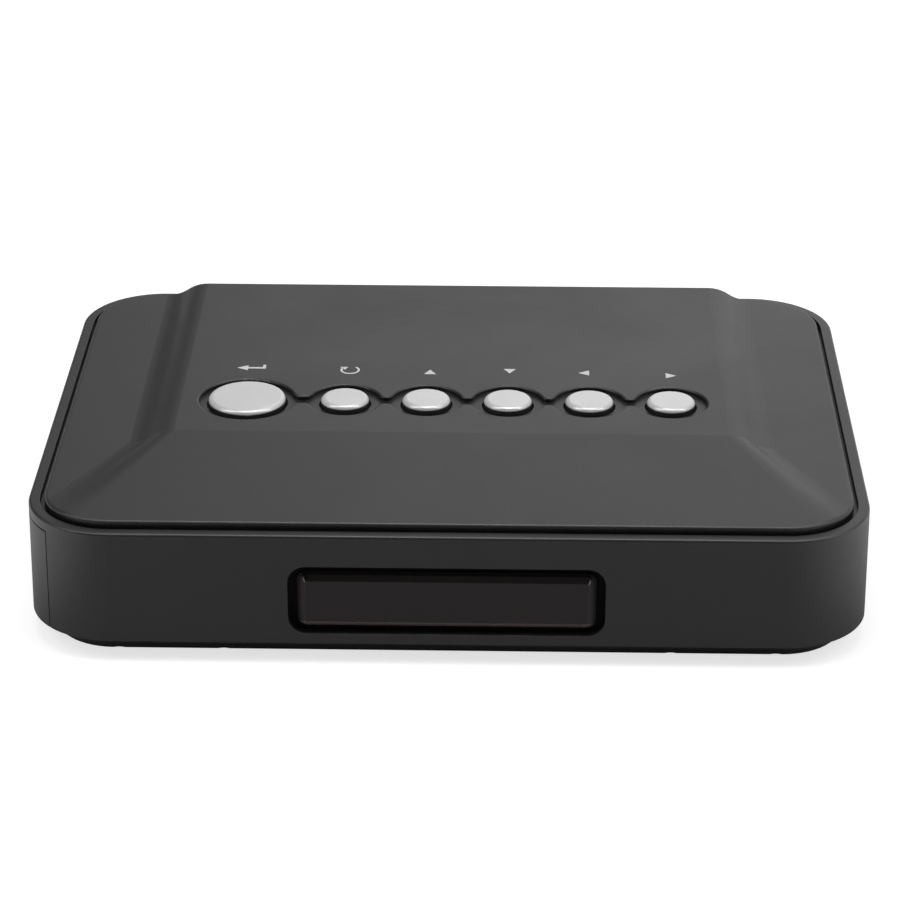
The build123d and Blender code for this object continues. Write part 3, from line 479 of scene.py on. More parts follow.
@dataclass(frozen=True)
class SmokedPane(Finish):
    """Polished plastic that passes infrared: near black, with a brown-red depth and a painted sheen
    on the bevels that face sideways or down.
    """

    deep: Colour = (0.03, 0.005, 0.0045)
    deep_range: Span = (0.6, 1.0)
    glance: float = 0.35
    specular: float = 0.48
    smears_per_metre: float = 60.0
    smear_roughness: float = 0.04
    scratches_per_metre: float = 5000.0
    scratch_depth_mm: float = 0.0004
    bevel_sheen: Colour = (0.06, 0.052, 0.05)
    side_sheen_levels: Span = (0.25, 0.6)
    under_sheen_strength: float = 5.0
    under_sheen_share: float = 0.6
    under_sheen_levels: Span = (-0.6, -0.25)
    face_y_mm: float | None = None
    shadow: Colour = (0.0012, 0.001, 0.001)
    shadow_start_mm: float = 0.8

    def shader(self, bench: NodeBench) -> Node:
        """Build the red depth, the painted sheen on the bevels and faint scratches, and paint shadow
        over the recessed back.

        Args:
            bench: The material's bench.

        Returns:
            The last node.
        """
        smear = bench.group(SharedEffect.smudges(), {
            "Smears per metre": self.smears_per_metre}).outputs["Mask"]
        scratch = bench.group(SharedEffect.lines(), {
            "Lines per metre": self.scratches_per_metre}).outputs["Height"]
        glance = bench.add("LayerWeight", {"Blend": self.glance}).outputs["Facing"]
        depth = bench.calculate("MULTIPLY", bench.spread(smear, *self.deep_range), glance)
        towards = bench.parts(bench.normal())
        # Painted reflection: bevels that face sideways or down are lightened towards the sheen
        # colour, standing in for what they mirror.
        side_sheen_mask = bench.rise(bench.calculate("ABSOLUTE", towards["X"]), self.side_sheen_levels)
        down = bench.spread(towards["Z"], self.under_sheen_share, 0.0, *self.under_sheen_levels)
        colour = bench.blend(depth, self.colour, self.deep)
        sides = bench.blend(side_sheen_mask, colour, self.bevel_sheen)
        colour = bench.blend(down, sides, shade_of(self.bevel_sheen, self.under_sheen_strength))
        roughness = bench.spread(smear, self.roughness, self.roughness + self.smear_roughness)
        # Painted shadow: what lies behind the face is blended to near black, standing in for the
        # shade in the recess round the pane.
        if self.face_y_mm is not None:
            inward = bench.parts(bench.place())["Y"]
            back_mm = self.face_y_mm + self.shadow_start_mm
            behind = bench.rise(inward, (self.face_y_mm * MM, back_mm * MM))
            colour = bench.blend(behind, colour, self.shadow)
            roughness = bench.calculate("MAXIMUM", roughness, behind)
        return bench.add("BsdfPrincipled", {
            "Base Color": colour, "Roughness": roughness, "Specular IOR Level": self.specular,
            "Normal": bench.bump(scratch, self.scratch_depth_mm)})


class Working(Enum):
    """How a metal piece was given its surface."""

    ROLLED = "rolled"
    CAST = "cast"
    DRAWN = "drawn"
    PLATED = "plated"


@dataclass(frozen=True)
class BareMetal(Finish):
    """Bare or plated metal with the marks of how it was made."""

    working: Working = Working.ROLLED
    cells_per_metre: float = 2500.0
    mottle_per_metre: float = 120.0
    lines_per_metre: float = 9000.0
    fine_depth_mm: float = 0.002
    cast_depth_mm: float = 0.01
    tones: Span = (0.85, 1.08)
    wear: float = 0.5
    wear_mm: float = 0.2
    worn_shine: float = 1.35
    rounding_mm: float = 0.1
    unevenness: float = 0.06

    def shader(self, bench: NodeBench) -> Node:
        """Build the working marks, the stains and the bright edges.

        Args:
            bench: The material's bench.

        Returns:
            The last node.
        """
        grain = bench.group(SharedEffect.grain(), {
            "Cells per metre": self.cells_per_metre, "Mottle per metre": self.mottle_per_metre})
        rubbed = bench.group(SharedEffect.wear(), {
            "Width": self.wear_mm * MM, "Amount": self.wear})
        height = grain.outputs["Height"]
        if self.working in (Working.ROLLED, Working.DRAWN):
            height = bench.group(SharedEffect.lines(), {
                "Lines per metre": self.lines_per_metre}).outputs["Height"]
        depth_mm = self.cast_depth_mm if self.working is Working.CAST else self.fine_depth_mm
        dark, light = (shade_of(self.colour, tone) for tone in self.tones)
        stained = bench.blend(grain.outputs["Mottle"], dark, light)
        colour = bench.blend(rubbed.outputs["Mask"], stained, shade_of(self.colour, self.worn_shine))
        normal = bench.bump(height, depth_mm, normal=bench.rounded(self.rounding_mm * MM))
        return bench.add("BsdfPrincipled", {
            "Base Color": colour, "Metallic": 1.0,
            "Roughness": self.uneven(bench, self.unevenness), "Normal": normal})


@dataclass(frozen=True)
class SolderMask(Finish):
    """Green lacquer over copper tracks, with bare pads."""

    track: Colour = (0.05, 0.27, 0.12)
    track_pitch_mm: float = 1.4
    track_levels: Span = (0.62, 0.7)
    track_depth_mm: float = 0.03
    track_strength: float = 0.8
    turns_per_metre: float = 130.0
    turn_levels: Span = (0.49, 0.51)
    pad: Colour = (0.72, 0.68, 0.5)
    pads_per_metre: float = 420.0
    pad_scatter: float = 0.7
    pad_levels: Span = (0.16, 0.19)
    coat: float = 0.3
    coat_roughness: float = 0.15
    unevenness: float = 0.05

    def shader(self, bench: NodeBench) -> Node:
        """Build tracks both ways, the pads and the lacquer's height.

        Args:
            bench: The material's bench.

        Returns:
            The last node.
        """
        place = bench.place()
        along = bench.bands(place, self.track_pitch_mm, "X")
        across = bench.bands(place, self.track_pitch_mm, "Y")
        which = bench.rise(bench.noise(self.turns_per_metre, detail=0.0), self.turn_levels)
        track = bench.rise(bench.blend(which, along, across), self.track_levels)
        dots = bench.add("TexVoronoi", {"Vector": place, "Scale": self.pads_per_metre,
                                        "Randomness": self.pad_scatter}).outputs["Distance"]
        pad = bench.fall(dots, self.pad_levels)
        lacquer = bench.blend(track, self.colour, self.track)
        return bench.add("BsdfPrincipled", {
            "Base Color": bench.blend(pad, lacquer, self.pad), "Metallic": pad,
            "Roughness": self.uneven(bench, self.unevenness),
            "Coat Weight": self.coat, "Coat Roughness": self.coat_roughness,
            "Normal": bench.bump(track, self.track_depth_mm, self.track_strength)})


@dataclass(frozen=True)
class RibbonFilm(Finish):
    """Clear film over flat conductors that run side by side."""

    conductor: Colour = (0.42, 0.42, 0.43)
    pitch_mm: float = 1.0
    edge_levels: Span = (0.4, 0.6)
    depth_mm: float = 0.04
    strength: float = 0.7
    unevenness: float = 0.05

    def shader(self, bench: NodeBench) -> Node:
        """Build the row of conductors under the film.

        Args:
            bench: The material's bench.

        Returns:
            The last node.
        """
        strip = bench.rise(bench.bands(bench.place(), self.pitch_mm, "X"), self.edge_levels)
        return bench.add("BsdfPrincipled", {
            "Base Color": bench.blend(strip, self.colour, self.conductor),
            "Roughness": self.uneven(bench, self.unevenness),
            "Normal": bench.bump(strip, self.depth_mm, self.strength)})


@dataclass(frozen=True)
class ScreenInk(Finish):
    """White ink pressed through a screen: slightly thin in places."""

    cells_per_metre: float = 9000.0
    spots_per_metre: float = 900.0
    thin: float = 0.86
    depth_mm: float = 0.004
    unevenness: float = 0.05

    def shader(self, bench: NodeBench) -> Node:
        """Build the ink's thin spots.

        Args:
            bench: The material's bench.

        Returns:
            The last node.
        """
        grain = bench.group(SharedEffect.grain(), {
            "Cells per metre": self.cells_per_metre, "Mottle per metre": self.spots_per_metre})
        colour = bench.blend(grain.outputs["Mottle"], shade_of(self.colour, self.thin), self.colour)
        return bench.add("BsdfPrincipled", {
            "Base Color": colour, "Roughness": self.uneven(bench, self.unevenness),
            "Normal": bench.bump(grain.outputs["Height"], self.depth_mm)})


@dataclass(frozen=True)
class ClearLens(Finish):
    """Clear epoxy, faintly clouded."""

    clouds_per_metre: float = 200.0
    cloud_shade: float = 0.9
    cloud_roughness: float = 0.1
    clearness: float = 0.8
    bending: float = 1.5

    def shader(self, bench: NodeBench) -> Node:
        """Build the clouded clear body.

        Args:
            bench: The material's bench.

        Returns:
            The last node.
        """
        cloud = bench.group(SharedEffect.smudges(), {
            "Smears per metre": self.clouds_per_metre}).outputs["Mask"]
        cloudy = self.roughness + self.cloud_roughness
        return bench.add("BsdfPrincipled", {
            "Base Color": bench.blend(cloud, self.colour, shade_of(self.colour, self.cloud_shade)),
            "Roughness": bench.spread(cloud, self.roughness, cloudy),
            "Transmission Weight": self.clearness, "IOR": self.bending})


BLACK_SHELL = MouldedPlastic("black shell", (0.0025, 0.0025, 0.0027), 0.42, specular=0.72)
TRAY_PLASTIC = MouldedPlastic("tray plastic", (0.014, 0.014, 0.0145), 0.42, grain_depth_mm=0.003)
SILVER_KEY = SatinKey("silver key", (0.63, 0.63, 0.635), 0.3)
KEY_PLUNGER = MouldedPlastic("key plunger", (0.05, 0.05, 0.05), 0.4)
RED_WINDOW = SmokedPane("red window", (0.004, 0.0015, 0.0015), 0.06, face_y_mm=-46.0)
FOOT_RUBBER = MouldedPlastic("foot rubber", (0.018, 0.018, 0.018), 0.85, specular=0.25,
                             cell_mm=0.15)
CIRCUIT_BOARD = SolderMask("circuit board", (0.012, 0.13, 0.05), 0.35)
BLACK_MOULDING = MouldedPlastic("black moulding", (0.012, 0.012, 0.012), 0.35,
                                grain_depth_mm=0.002)
CHIP_PACKAGE = MouldedPlastic("chip package", (0.022, 0.022, 0.024), 0.55, cell_mm=0.1)
SCREW_STEEL = BareMetal("screw steel", (0.55, 0.55, 0.56), 0.32, Working.PLATED)
SHEET_STEEL = BareMetal("sheet steel", (0.6, 0.6, 0.61), 0.34, Working.ROLLED)
CAST_ALUMINIUM = BareMetal("cast aluminium", (0.58, 0.59, 0.6), 0.42, Working.CAST)
CAN_METAL = BareMetal("can metal", (0.72, 0.73, 0.74), 0.28, Working.DRAWN)
RIBBON_FILM = RibbonFilm("ribbon film", (0.75, 0.75, 0.73), 0.35)
RECEIVER_BLACK = SmokedPane("receiver black", (0.012, 0.008, 0.012), 0.08, specular=0.5)
LAMP_LENS = ClearLens("lamp lens", (0.85, 0.87, 0.9), 0.06)
GOLD_PLATE = BareMetal("gold plate", (0.8, 0.58, 0.27), 0.25, Working.PLATED)
LABEL_PAPER = ScreenInk("label paper", (0.68, 0.68, 0.66), 0.45)
WHITE_INK = ScreenInk("white ink", (0.62, 0.62, 0.62), 0.55)


# ---------------------------------------------------------------- pieces
def dress(finish: Finish, *names: str) -> None:
    """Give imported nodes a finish.

    Args:
        finish: The finish.
        names: The nodes' names.
    """
    for name in names:
        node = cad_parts[name]
        if not node.material_slots:
            node.data.materials.append(None)
        for slot in node.material_slots:
            slot.material = finish.material()
        log.info("dressed %s in %s", name, finish.name)


def hold(name: str, data: bpy.types.ID) -> bpy.types.Object:
    """Put a mesh, lamp or camera into the scene.

    Args:
        name: The object's name.
        data: The mesh, lamp or camera.

    Returns:
        The object that holds it.
    """
    made = bpy.data.objects.new(name, data)
    bpy.context.scene.collection.objects.link(made)
    return made


def add_piece(name: str, mesh: Mesh, finish: Finish, body: str) -> bpy.types.Object:
    """Turn finished mesh work into a piece that rides on a body.

    Args:
        name: The piece's name.
        mesh: The mesh work, which is freed.
        finish: The finish.
        body: The body that the piece rides on.

    Returns:
        The piece.
    """
    bmesh.ops.recalc_face_normals(mesh, faces=mesh.faces)
    data = bpy.data.meshes.new(name)
    mesh.to_mesh(data)
    mesh.free()
    piece = hold(name, data)
    data.materials.append(finish.material())
    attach(piece, body)
    log.info("built %s on %s", name, body)
    return piece


def add_prism(mesh: Mesh, loop: Loop, low: float, high: float) -> None:
    """Add an upright prism to mesh work.

    Args:
        mesh: The mesh work.
        loop: The corners of its outline, in metres.
        low: The height of its foot.
        high: The height of its top.
    """
    foot = mesh.faces.new([mesh.verts.new((x, y, low)) for x, y in loop])
    grown = bmesh.ops.extrude_face_region(mesh, geom=[foot])
    risen = [part for part in grown["geom"] if isinstance(part, bmesh.types.BMVert)]
    bmesh.ops.translate(mesh, verts=risen, vec=(0, 0, high - low))


def add_block(mesh: Mesh, low: Point, high: Point, bevel: float) -> None:
    """Add a block with bevelled edges to mesh work.

    Args:
        mesh: The mesh work.
        low: Its lowest corner, in metres.
        high: Its highest corner.
        bevel: The width of the bevel.
    """
    start = len(mesh.edges)
    loop = [(low[0], low[1]), (high[0], low[1]), (high[0], high[1]), (low[0], high[1])]
    add_prism(mesh, loop, low[2], high[2])
    mesh.edges.ensure_lookup_table()
    bmesh.ops.bevel(mesh, geom=mesh.edges[start:], offset=bevel, segments=2, profile=0.5,
                    affect="EDGES")


def add_turned(mesh: Mesh, profile: Loop, centre: Point, steps: int) -> None:
    """Add a piece that is turned about a line along Y.

    Args:
        mesh: The mesh work.
        profile: Radius and place along Y of each point, in metres.
        centre: A point on the line.
        steps: The number of steps round it.
    """
    turns = [math.tau * step / steps for step in range(steps)]
    rows = [[mesh.verts.new((centre[0] + radius * math.cos(turn), centre[1] + along,
                             centre[2] + radius * math.sin(turn)))
             for turn in turns] for radius, along in profile]
    for near, far in zip(rows, rows[1:]):
        for step in range(steps):
            after = (step + 1) % steps
            mesh.faces.new((near[step], near[after], far[after], far[step]))


# ---------------------------------------------------------------- studio
@dataclass(frozen=True)
class Softbox:
    """A soft lamp: where it hangs, how large it is and how much light it gives, in watts."""

    name: str
    at: Point
    width: float
    height: float
    power: float

    def hang(self, aim: Vector) -> None:
        """Hang the lamp and turn it to a point.

        Args:
            aim: The point that it lights.
        """
        lamp = bpy.data.lights.new(self.name, "AREA")
        lamp.shape = "RECTANGLE"
        lamp.size = self.width
        lamp.size_y = self.height
        lamp.energy = self.power
        holder = hold(self.name, lamp)
        holder.location = self.at
        holder.rotation_mode = "QUATERNION"
        holder.rotation_quaternion = (aim - Vector(self.at)).to_track_quat("-Z", "Y")


@dataclass
class Studio:
    """The camera, the pale floor, the white surroundings and the soft lamps.

    The shell's tone is nearly all gloss, so what it mirrors is set apart from what is seen:
    mirrored_floor is how white the floor is in gloss at the two distances from the middle in
    mirrored_reach, and mirrored_room how white the room is at each X of the direction. Towards
    the front the room fades to front_white, which it reaches at a direction Y of front_reach.
    """

    camera_at: Point = (0.009004, -0.466555, 0.235308)
    camera_right: Point = (0.99978416, 0.02074914, 0.00105581)
    camera_up: Point = (-0.00985359, 0.42882324, 0.90333468)
    camera_back: Point = (0.01829067, -0.9031501, 0.42893513)
    lens_length: float = 126.88
    sensor: float = 36.0
    floor_half: float = 3.0
    floor_drop: float = 0.00001
    floor_colour: Colour = (0.45, 0.45, 0.45)
    floor_glow: float = 0.7
    mirrored_floor: Span = (0.0, 1.5)
    mirrored_reach: Span = (0.07, 0.13)
    room_light: float = 0.32
    mirrored_room: tuple[Span, ...] = ((-0.35, 0.25), (-0.2, 0.24), (-0.13, 0.37), (-0.03, 1.0),
                                       (0.25, 1.0), (0.5, 0.75))
    front_white: float = 0.15
    front_reach: float = -0.35
    aim: Point = (0.0, 0.0, 0.02)
    softboxes: tuple[Softbox, ...] = (
        Softbox("high softbox", (0.0, 0.0, 0.9), 0.5, 0.5, 3.3),
        Softbox("left softbox", (-0.55, -0.2, 0.75), 0.35, 0.35, 1.6),
        Softbox("right softbox", (0.55, -0.2, 0.75), 0.35, 0.35, 1.6),
        Softbox("left strip", (-0.69, -0.22, 0.34), 0.25, 0.35, 0.5),
        Softbox("right strip", (0.69, -0.22, 0.34), 0.25, 0.35, 0.5),
    )

    def build(self) -> None:
        """Set the whole studio up."""
        bpy.context.scene.view_settings.view_transform = "Standard"
        self.place_camera()
        self.lay_floor()
        self.light_room()
        for softbox in self.softboxes:
            softbox.hang(Vector(self.aim))

    def place_camera(self) -> None:
        """Stand the camera where the photograph was taken from."""
        lens = bpy.data.cameras.new("camera")
        lens.lens = self.lens_length
        lens.sensor_width = self.sensor
        lens.dof.use_dof = False
        camera = hold("camera", lens)
        columns = (self.camera_right, self.camera_up, self.camera_back)
        turn = Matrix([[column[row] for column in columns] for row in range(3)])
        camera.matrix_world = Matrix.Translation(self.camera_at) @ turn.to_4x4()
        bpy.context.scene.camera = camera

    def seen_plainly(self, bench: NodeBench, mirrored: object) -> Socket:
        """Tell rays that see the surroundings themselves from those that carry their light.

        Args:
            bench: The material's or the world's bench.
            mirrored: How white the surroundings are in gloss, a number or socket.

        Returns:
            The share of plain white: 1 straight on and through glass, mirrored in gloss, and 0
            for the light that the surroundings give.
        """
        path = bench.add("LightPath").outputs
        in_gloss = bench.calculate("MULTIPLY", path["Is Glossy Ray"], mirrored)
        through = bench.calculate("MAXIMUM", path["Is Camera Ray"], path["Is Transmission Ray"])
        return bench.calculate("MAXIMUM", through, in_gloss)

    def lay_floor(self) -> None:
        """Lay a plain pale floor that keeps the object's shadow and glows only where seen."""
        mesh = bmesh.new()
        bmesh.ops.create_grid(mesh, x_segments=1, y_segments=1, size=self.floor_half)
        data = bpy.data.meshes.new("floor")
        mesh.to_mesh(data)
        mesh.free()
        floor = hold("floor", data)
        floor.location.z = -self.floor_drop
        paint = bpy.data.materials.new("floor paint")
        bench = clear_bench(paint)
        matte = bench.add("BsdfDiffuse", {"Color": self.floor_colour})
        across = bench.calculate("ABSOLUTE", bench.parts(bench.place())["X"])
        mirrored = bench.spread(across, *self.mirrored_floor, *self.mirrored_reach)
        strength = bench.calculate("MULTIPLY", self.seen_plainly(bench, mirrored), self.floor_glow)
        glow = bench.add("Emission", {"Color": WHITE, "Strength": strength})
        both = bench.add("AddShader", {0: matte.outputs[0], 1: glow.outputs[0]})
        bench.add("OutputMaterial", {"Surface": both.outputs[0]})
        data.materials.append(paint)

    def light_room(self) -> None:
        """Make surroundings that look white, light the object softly and shade its gloss."""
        world = bpy.data.worlds.new("room")
        bpy.context.scene.world = world
        bench = clear_bench(world)
        way = bench.parts(bench.add("TexCoord").outputs["Generated"])
        ramp = bench.add("ValToRGB", {0: bench.rise(way["X"], (-1.0, 1.0))})
        points = ramp.color_ramp.elements
        for stop, (across, white) in enumerate(self.mirrored_room):
            point = points[stop] if stop < len(points) else points.new(1.0)
            point.position = (across + 1) / 2
            point.color = (white, white, white, 1.0)
        front = bench.spread(way["Y"], self.front_white, 1.0, self.front_reach, 0.0)
        mirrored = bench.calculate("MULTIPLY", ramp.outputs["Color"], front)
        soft = bench.add("Background", {"Color": WHITE, "Strength": self.room_light})
        plain = bench.add("Background", {"Color": WHITE, "Strength": 1.0})
        glossy = bench.add("LightPath").outputs["Is Glossy Ray"]
        unlit = bench.add("MixShader", {0: glossy, 1: soft.outputs[0]})
        both = bench.add("MixShader", {0: self.seen_plainly(bench, mirrored),
                                       1: unlit.outputs[0], 2: plain.outputs[0]})
        bench.add("OutputWorld", {"Surface": both.outputs[0]})


# ---------------------------------------------------------------- case
class Mark(Enum):
    """What is printed behind each key."""

    ENTER = "enter_mark"
    RETURN = "return_mark"
    UP = "up_mark"
    DOWN = "down_mark"
    LEFT = "left_mark"
    RIGHT = "right_mark"


TRIANGLE_TURNS = {Mark.UP: 0, Mark.LEFT: 90, Mark.DOWN: 180, Mark.RIGHT: 270}


@dataclass
class CaseShell:
    """The pan, the band and the top cover, with the marks printed on it."""

    face_mm: float = 24.5
    ink_sunk_mm: float = 0.01
    ink_proud_mm: float = 0.02
    places_mm: tuple[tuple[Mark, Span], ...] = (
        (Mark.ENTER, (-33.15, 7.95)), (Mark.RETURN, (-16.95, 7.45)), (Mark.UP, (-3.85, 6.95)),
        (Mark.DOWN, (9.15, 7.55)), (Mark.LEFT, (21.25, 7.1)), (Mark.RIGHT, (35.45, 6.35)))
    arrow_half_mm: float = 2.35
    arrow_head_mm: float = 1.8
    arrow_head_half_mm: float = 0.95
    arrow_stem_mm: float = 0.56
    arrow_riser_mm: Span = (0.5, 1.25)
    loop_radius_mm: float = 1.42
    loop_stroke_mm: float = 0.36
    loop_angles: Span = (52.0, -212.0)
    loop_steps: int = 40
    loop_head_mm: tuple[Span, ...] = ((-1.75, 1.2), (-0.85, 0.1), (-0.35, 1.2))
    triangle_half_mm: float = 1.0
    triangle_tall_mm: float = 1.75

    def build(self) -> None:
        """Dress the shell and print the marks."""
        dress(BLACK_SHELL, "case_frame", "bottom_pan", "top_cover")
        dress(FOOT_RUBBER, "rubber_feet")
        for mark, place in self.places_mm:
            self.print_mark(mark, place)

    def print_mark(self, mark: Mark, place: Span) -> None:
        """Lay one mark's ink on the cover.

        Args:
            mark: Which mark.
            place: The mark's middle, in millimetres.
        """
        low, high = self.face_mm - self.ink_sunk_mm, self.face_mm + self.ink_proud_mm
        mesh = bmesh.new()
        for loop in self.outlines(mark):
            moved = [((x + place[0]) * MM, (y + place[1]) * MM) for x, y in loop]
            add_prism(mesh, moved, low * MM, high * MM)
        add_piece(mark.value, mesh, WHITE_INK, "case")

    def outlines(self, mark: Mark) -> list[Loop]:
        """Give the outlines of a mark round its middle.

        Args:
            mark: Which mark.

        Returns:
            Closed outlines, in millimetres.
        """
        if mark is Mark.ENTER:
            return [self.bent_arrow()]
        if mark is Mark.RETURN:
            return self.loop_arrow()
        turn = math.radians(TRIANGLE_TURNS[mark])
        tall, half = self.triangle_tall_mm / 2, self.triangle_half_mm
        corners = [(-half, -tall), (half, -tall), (0.0, tall)]
        return [[(x * math.cos(turn) - y * math.sin(turn), x * math.sin(turn) + y * math.cos(turn))
                 for x, y in corners]]

    def bent_arrow(self) -> Loop:
        """Give the arrow that runs left from a short riser.

        Returns:
            Its closed outline, in millimetres.
        """
        half, stem = self.arrow_half_mm, self.arrow_stem_mm / 2
        neck = self.arrow_head_mm - half
        wide, tall = self.arrow_riser_mm
        return [(-half, 0.0), (neck, -self.arrow_head_half_mm), (neck, -stem), (half, -stem),
                (half, tall), (half - wide, tall), (half - wide, stem), (neck, stem),
                (neck, self.arrow_head_half_mm)]

    def loop_arrow(self) -> list[Loop]:
        """Give the open ring and its arrow head.

        Returns:
            Their closed outlines, in millimetres.
        """
        start, end = self.loop_angles
        turns = [math.radians(start + (end - start) * step / self.loop_steps)
                 for step in range(self.loop_steps + 1)]
        outer = self.loop_radius_mm + self.loop_stroke_mm / 2
        inner = outer - self.loop_stroke_mm
        ring = [(outer * math.cos(turn), outer * math.sin(turn)) for turn in turns]
        ring += [(inner * math.cos(turn), inner * math.sin(turn)) for turn in reversed(turns)]
        return [ring, list(self.loop_head_mm)]


@dataclass
class KeyRow:
    """The six keys with their plungers, their switches and the board under them."""

    keys: tuple[str, ...] = ("enter", "return", "up", "down", "left", "right")

    def build(self) -> None:
        """Dress the keys and what they press on."""
        dress(SILVER_KEY, *[key + "_button" for key in self.keys])
        dress(KEY_PLUNGER, *[key + "_plunger" for key in self.keys])
        dress(SHEET_STEEL, "key_switches")
        dress(CIRCUIT_BOARD, "key_board")
        dress(SCREW_STEEL, "key_board_screws")


@dataclass
class FrontWindow:
    """The dark pane in the front, with the receiver and the lamp behind it."""

    def build(self) -> None:
        """Dress the pane, the receiver and the lamp."""
        dress(RED_WINDOW, "ir_window")
        dress(RECEIVER_BLACK, "ir_receiver")
        dress(LAMP_LENS, "status_led")


@dataclass
class DriveTray:
    """The tray with its bezel and the hard drive that lies in it."""

    label_length_mm: float = 60.0
    label_width_mm: float = 50.0
    label_corner_mm: float = 3.0
    label_corner_step: int = 15
    label_sunk_mm: float = 0.01
    label_thickness_mm: float = 0.06

    def build(self) -> None:
        """Dress the bezel, the tray and the drive, and lay the drive's bare label."""
        self.lay_label()
        dress(BLACK_SHELL, "tray_bezel")
        dress(TRAY_PLASTIC, "drive_tray")
        dress(SCREW_STEEL, "bezel_screws", "drive_screws")
        dress(CAST_ALUMINIUM, "drive_base")
        dress(CAN_METAL, "drive_lid")
        dress(CIRCUIT_BOARD, "drive_board")
        dress(BLACK_MOULDING, "drive_connector")

    def lay_label(self) -> None:
        """Lay a bare paper label with round corners on the middle of the drive's lid."""
        low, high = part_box("drive_lid")
        middle = (low + high) / 2
        corner = self.label_corner_mm * MM
        reach_x = self.label_length_mm * MM / 2 - corner
        reach_y = self.label_width_mm * MM / 2 - corner
        loop = []
        for degrees in range(0, FULL_TURN, self.label_corner_step):
            turn, quarter = math.radians(degrees), math.radians(degrees // 90 * 90 + 45)
            side_x, side_y = math.copysign(1, math.cos(quarter)), math.copysign(1, math.sin(quarter))
            loop.append((middle.x + side_x * reach_x + corner * math.cos(turn),
                         middle.y + side_y * reach_y + corner * math.sin(turn)))
        mesh = bmesh.new()
        add_prism(mesh, loop, high.z - self.label_sunk_mm * MM,
                  high.z + self.label_thickness_mm * MM)
        add_piece("drive_label", mesh, LABEL_PAPER, "tray")


@dataclass
class DriveBay:
    """The guides, the shelf over them and the upright board that the drive plugs into."""

    def build(self) -> None:
        """Dress the bay."""
        dress(TRAY_PLASTIC, "front_tray_guide", "rear_tray_guide")
        dress(SHEET_STEEL, "bay_shelf")
        dress(CIRCUIT_BOARD, "sata_board")
        dress(BLACK_MOULDING, "sata_socket", "riser_header")
        dress(SCREW_STEEL, "guide_screws", "shelf_screws", "case_screws")


@dataclass
class MainBoard:
    """The main board and what stands on it."""

    def build(self) -> None:
        """Dress the board and its parts."""
        dress(CIRCUIT_BOARD, "main_board")
        dress(SCREW_STEEL, "board_standoffs", "board_screws")
        dress(CHIP_PACKAGE, "processor", "memory_chips", "flash_chip", "inductor")
        dress(CAST_ALUMINIUM, "heat_sink")
        dress(CAN_METAL, "capacitors", "clock_crystal")
        dress(BLACK_MOULDING, "ribbon_sockets")
        dress(RIBBON_FILM, "ribbon_cable")


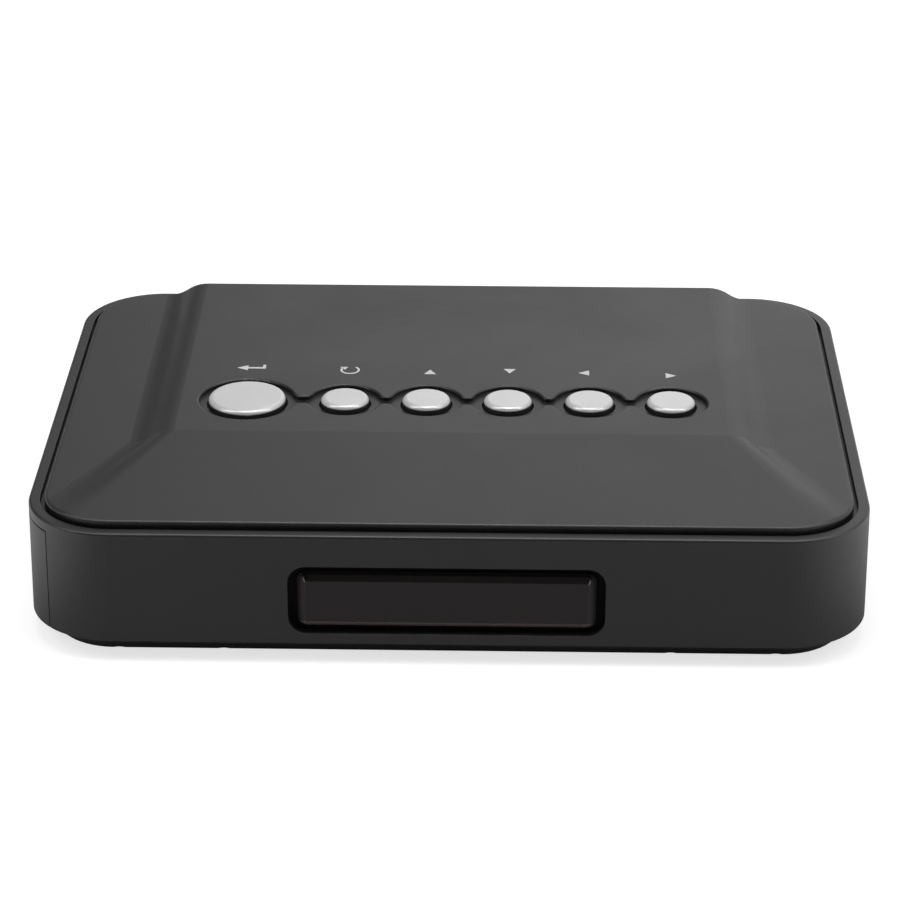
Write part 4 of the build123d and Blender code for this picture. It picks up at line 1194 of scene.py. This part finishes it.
@dataclass
class RearSockets:
    """The four sockets in the back, with their contacts.

    A tongue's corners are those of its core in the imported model, which its skin goes over.
    """

    sleeve_mm: float = 0.06
    bevel_mm: float = 0.1
    contact_mm: float = 0.04
    contact_start_mm: float = 1.0
    contact_end_mm: float = 0.5
    usb_tongue_low_mm: Point = (-3.55, 33.6, 17.5)
    usb_tongue_high_mm: Point = (7.55, 42.3, 19.3)
    usb_contacts_mm: tuple[float, ...] = (-1.5, 1.0, 3.0, 5.5)
    usb_contact_half_mm: float = 0.5
    hdmi_tongue_low_mm: Point = (20.4, 36.1, 16.65)
    hdmi_tongue_high_mm: Point = (31.6, 42.5, 17.55)
    hdmi_contacts: int = 10
    hdmi_pitch_mm: float = 1.0
    hdmi_contact_half_mm: float = 0.26
    jack_mouth_mm: Point = (-20.0, 46.0, 17.3)
    jack_ring_mm: Point = (1.82, 2.45, 0.12)
    jack_ring_steps: int = 48
    pin_foot_mm: Point = (-36.0, 37.2, 17.3)
    pin_mm: Span = (0.64, 7.36)
    pin_nose_angles: tuple[int, ...] = (0, 20, 40, 60, 80)
    pin_tip: float = 0.02
    pin_steps: int = 32

    def build(self) -> None:
        """Dress the sockets and add the tongues, the contacts, the ring and the pin."""
        dress(SHEET_STEEL, "usb_socket", "hdmi_socket")
        dress(BLACK_MOULDING, "av_jack", "dc_jack")
        usb = (self.usb_tongue_low_mm, self.usb_tongue_high_mm)
        hdmi = (self.hdmi_tongue_low_mm, self.hdmi_tongue_high_mm)
        self.add_tongue("usb_tongue", *usb)
        self.add_tongue("hdmi_tongue", *hdmi)
        self.add_contacts("usb_contacts", self.usb_contacts_mm, self.usb_contact_half_mm, *usb,
                          (False,))
        first = (hdmi[0][0] + hdmi[1][0]) / 2 - (self.hdmi_contacts - 1) * self.hdmi_pitch_mm / 2
        places = tuple(first + step * self.hdmi_pitch_mm for step in range(self.hdmi_contacts))
        self.add_contacts("hdmi_contacts", places, self.hdmi_contact_half_mm, *hdmi,
                          (False, True))
        self.add_jack_ring()
        self.add_pin()

    def add_tongue(self, name: str, low_mm: Point, high_mm: Point) -> None:
        """Put the moulded tongue over its core inside a socket's shell.

        Args:
            name: The piece's name.
            low_mm: The core's lowest corner.
            high_mm: The core's highest corner.
        """
        grow = self.sleeve_mm
        low = ((low_mm[0] - grow) * MM, low_mm[1] * MM, (low_mm[2] - grow) * MM)
        high = ((high_mm[0] + grow) * MM, (high_mm[1] + grow) * MM, (high_mm[2] + grow) * MM)
        mesh = bmesh.new()
        add_block(mesh, low, high, self.bevel_mm * MM)
        add_piece(name, mesh, BLACK_MOULDING, "case")

    def add_contacts(self, name: str, places_mm: tuple[float, ...], half_mm: float,
                     low_mm: Point, high_mm: Point, above: tuple[bool, ...]) -> None:
        """Lay a row of gold contacts along a tongue.

        Args:
            name: The piece's name.
            places_mm: The middle of each contact across the tongue.
            half_mm: Half a contact's width.
            low_mm: The core's lowest corner.
            high_mm: The core's highest corner.
            above: For each row, whether it lies on top of the tongue and not under it.
        """
        start, end = low_mm[1] + self.contact_start_mm, high_mm[1] - self.contact_end_mm
        mesh = bmesh.new()
        for on_top in above:
            face = high_mm[2] + self.sleeve_mm if on_top else low_mm[2] - self.sleeve_mm
            for place in places_mm:
                low = ((place - half_mm) * MM, start * MM, (face - self.contact_mm) * MM)
                high = ((place + half_mm) * MM, end * MM, (face + self.contact_mm) * MM)
                add_block(mesh, low, high, self.contact_mm * MM / 3)
        add_piece(name, mesh, GOLD_PLATE, "case")

    def add_jack_ring(self) -> None:
        """Set the plated ring into the mouth of the round jack."""
        inner, outer, proud = (size * MM for size in self.jack_ring_mm)
        profile = [(inner, -4 * proud), (inner, 0.0), (inner + proud / 2, proud),
                   (outer - proud / 2, proud), (outer, 0.0)]
        mesh = bmesh.new()
        mouth = tuple(part * MM for part in self.jack_mouth_mm)
        add_turned(mesh, profile, mouth, self.jack_ring_steps)
        add_piece("jack_ring", mesh, SCREW_STEEL, "case")

    def add_pin(self) -> None:
        """Put the plated sleeve with its round nose over the power socket's pin."""
        radius, length = (size * MM for size in self.pin_mm)
        profile = [(radius, 0.0)]
        for turn in map(math.radians, self.pin_nose_angles):
            profile.append((radius * math.cos(turn), length + radius * (math.sin(turn) - 1) / 2))
        profile.append((radius * self.pin_tip, length))
        mesh = bmesh.new()
        foot = tuple(part * MM for part in self.pin_foot_mm)
        add_turned(mesh, profile, foot, self.pin_steps)
        add_piece("power_pin", mesh, SCREW_STEEL, "case")


def main() -> None:
    """Build the studio and each sub-assembly."""
    logging.basicConfig(level=logging.INFO, format="%(message)s")
    for assembly in (Studio(), CaseShell(), KeyRow(), FrontWindow(), DriveTray(), DriveBay(),
                     MainBoard(), RearSockets()):
        assembly.build()


if __name__ == "__main__":
    main()
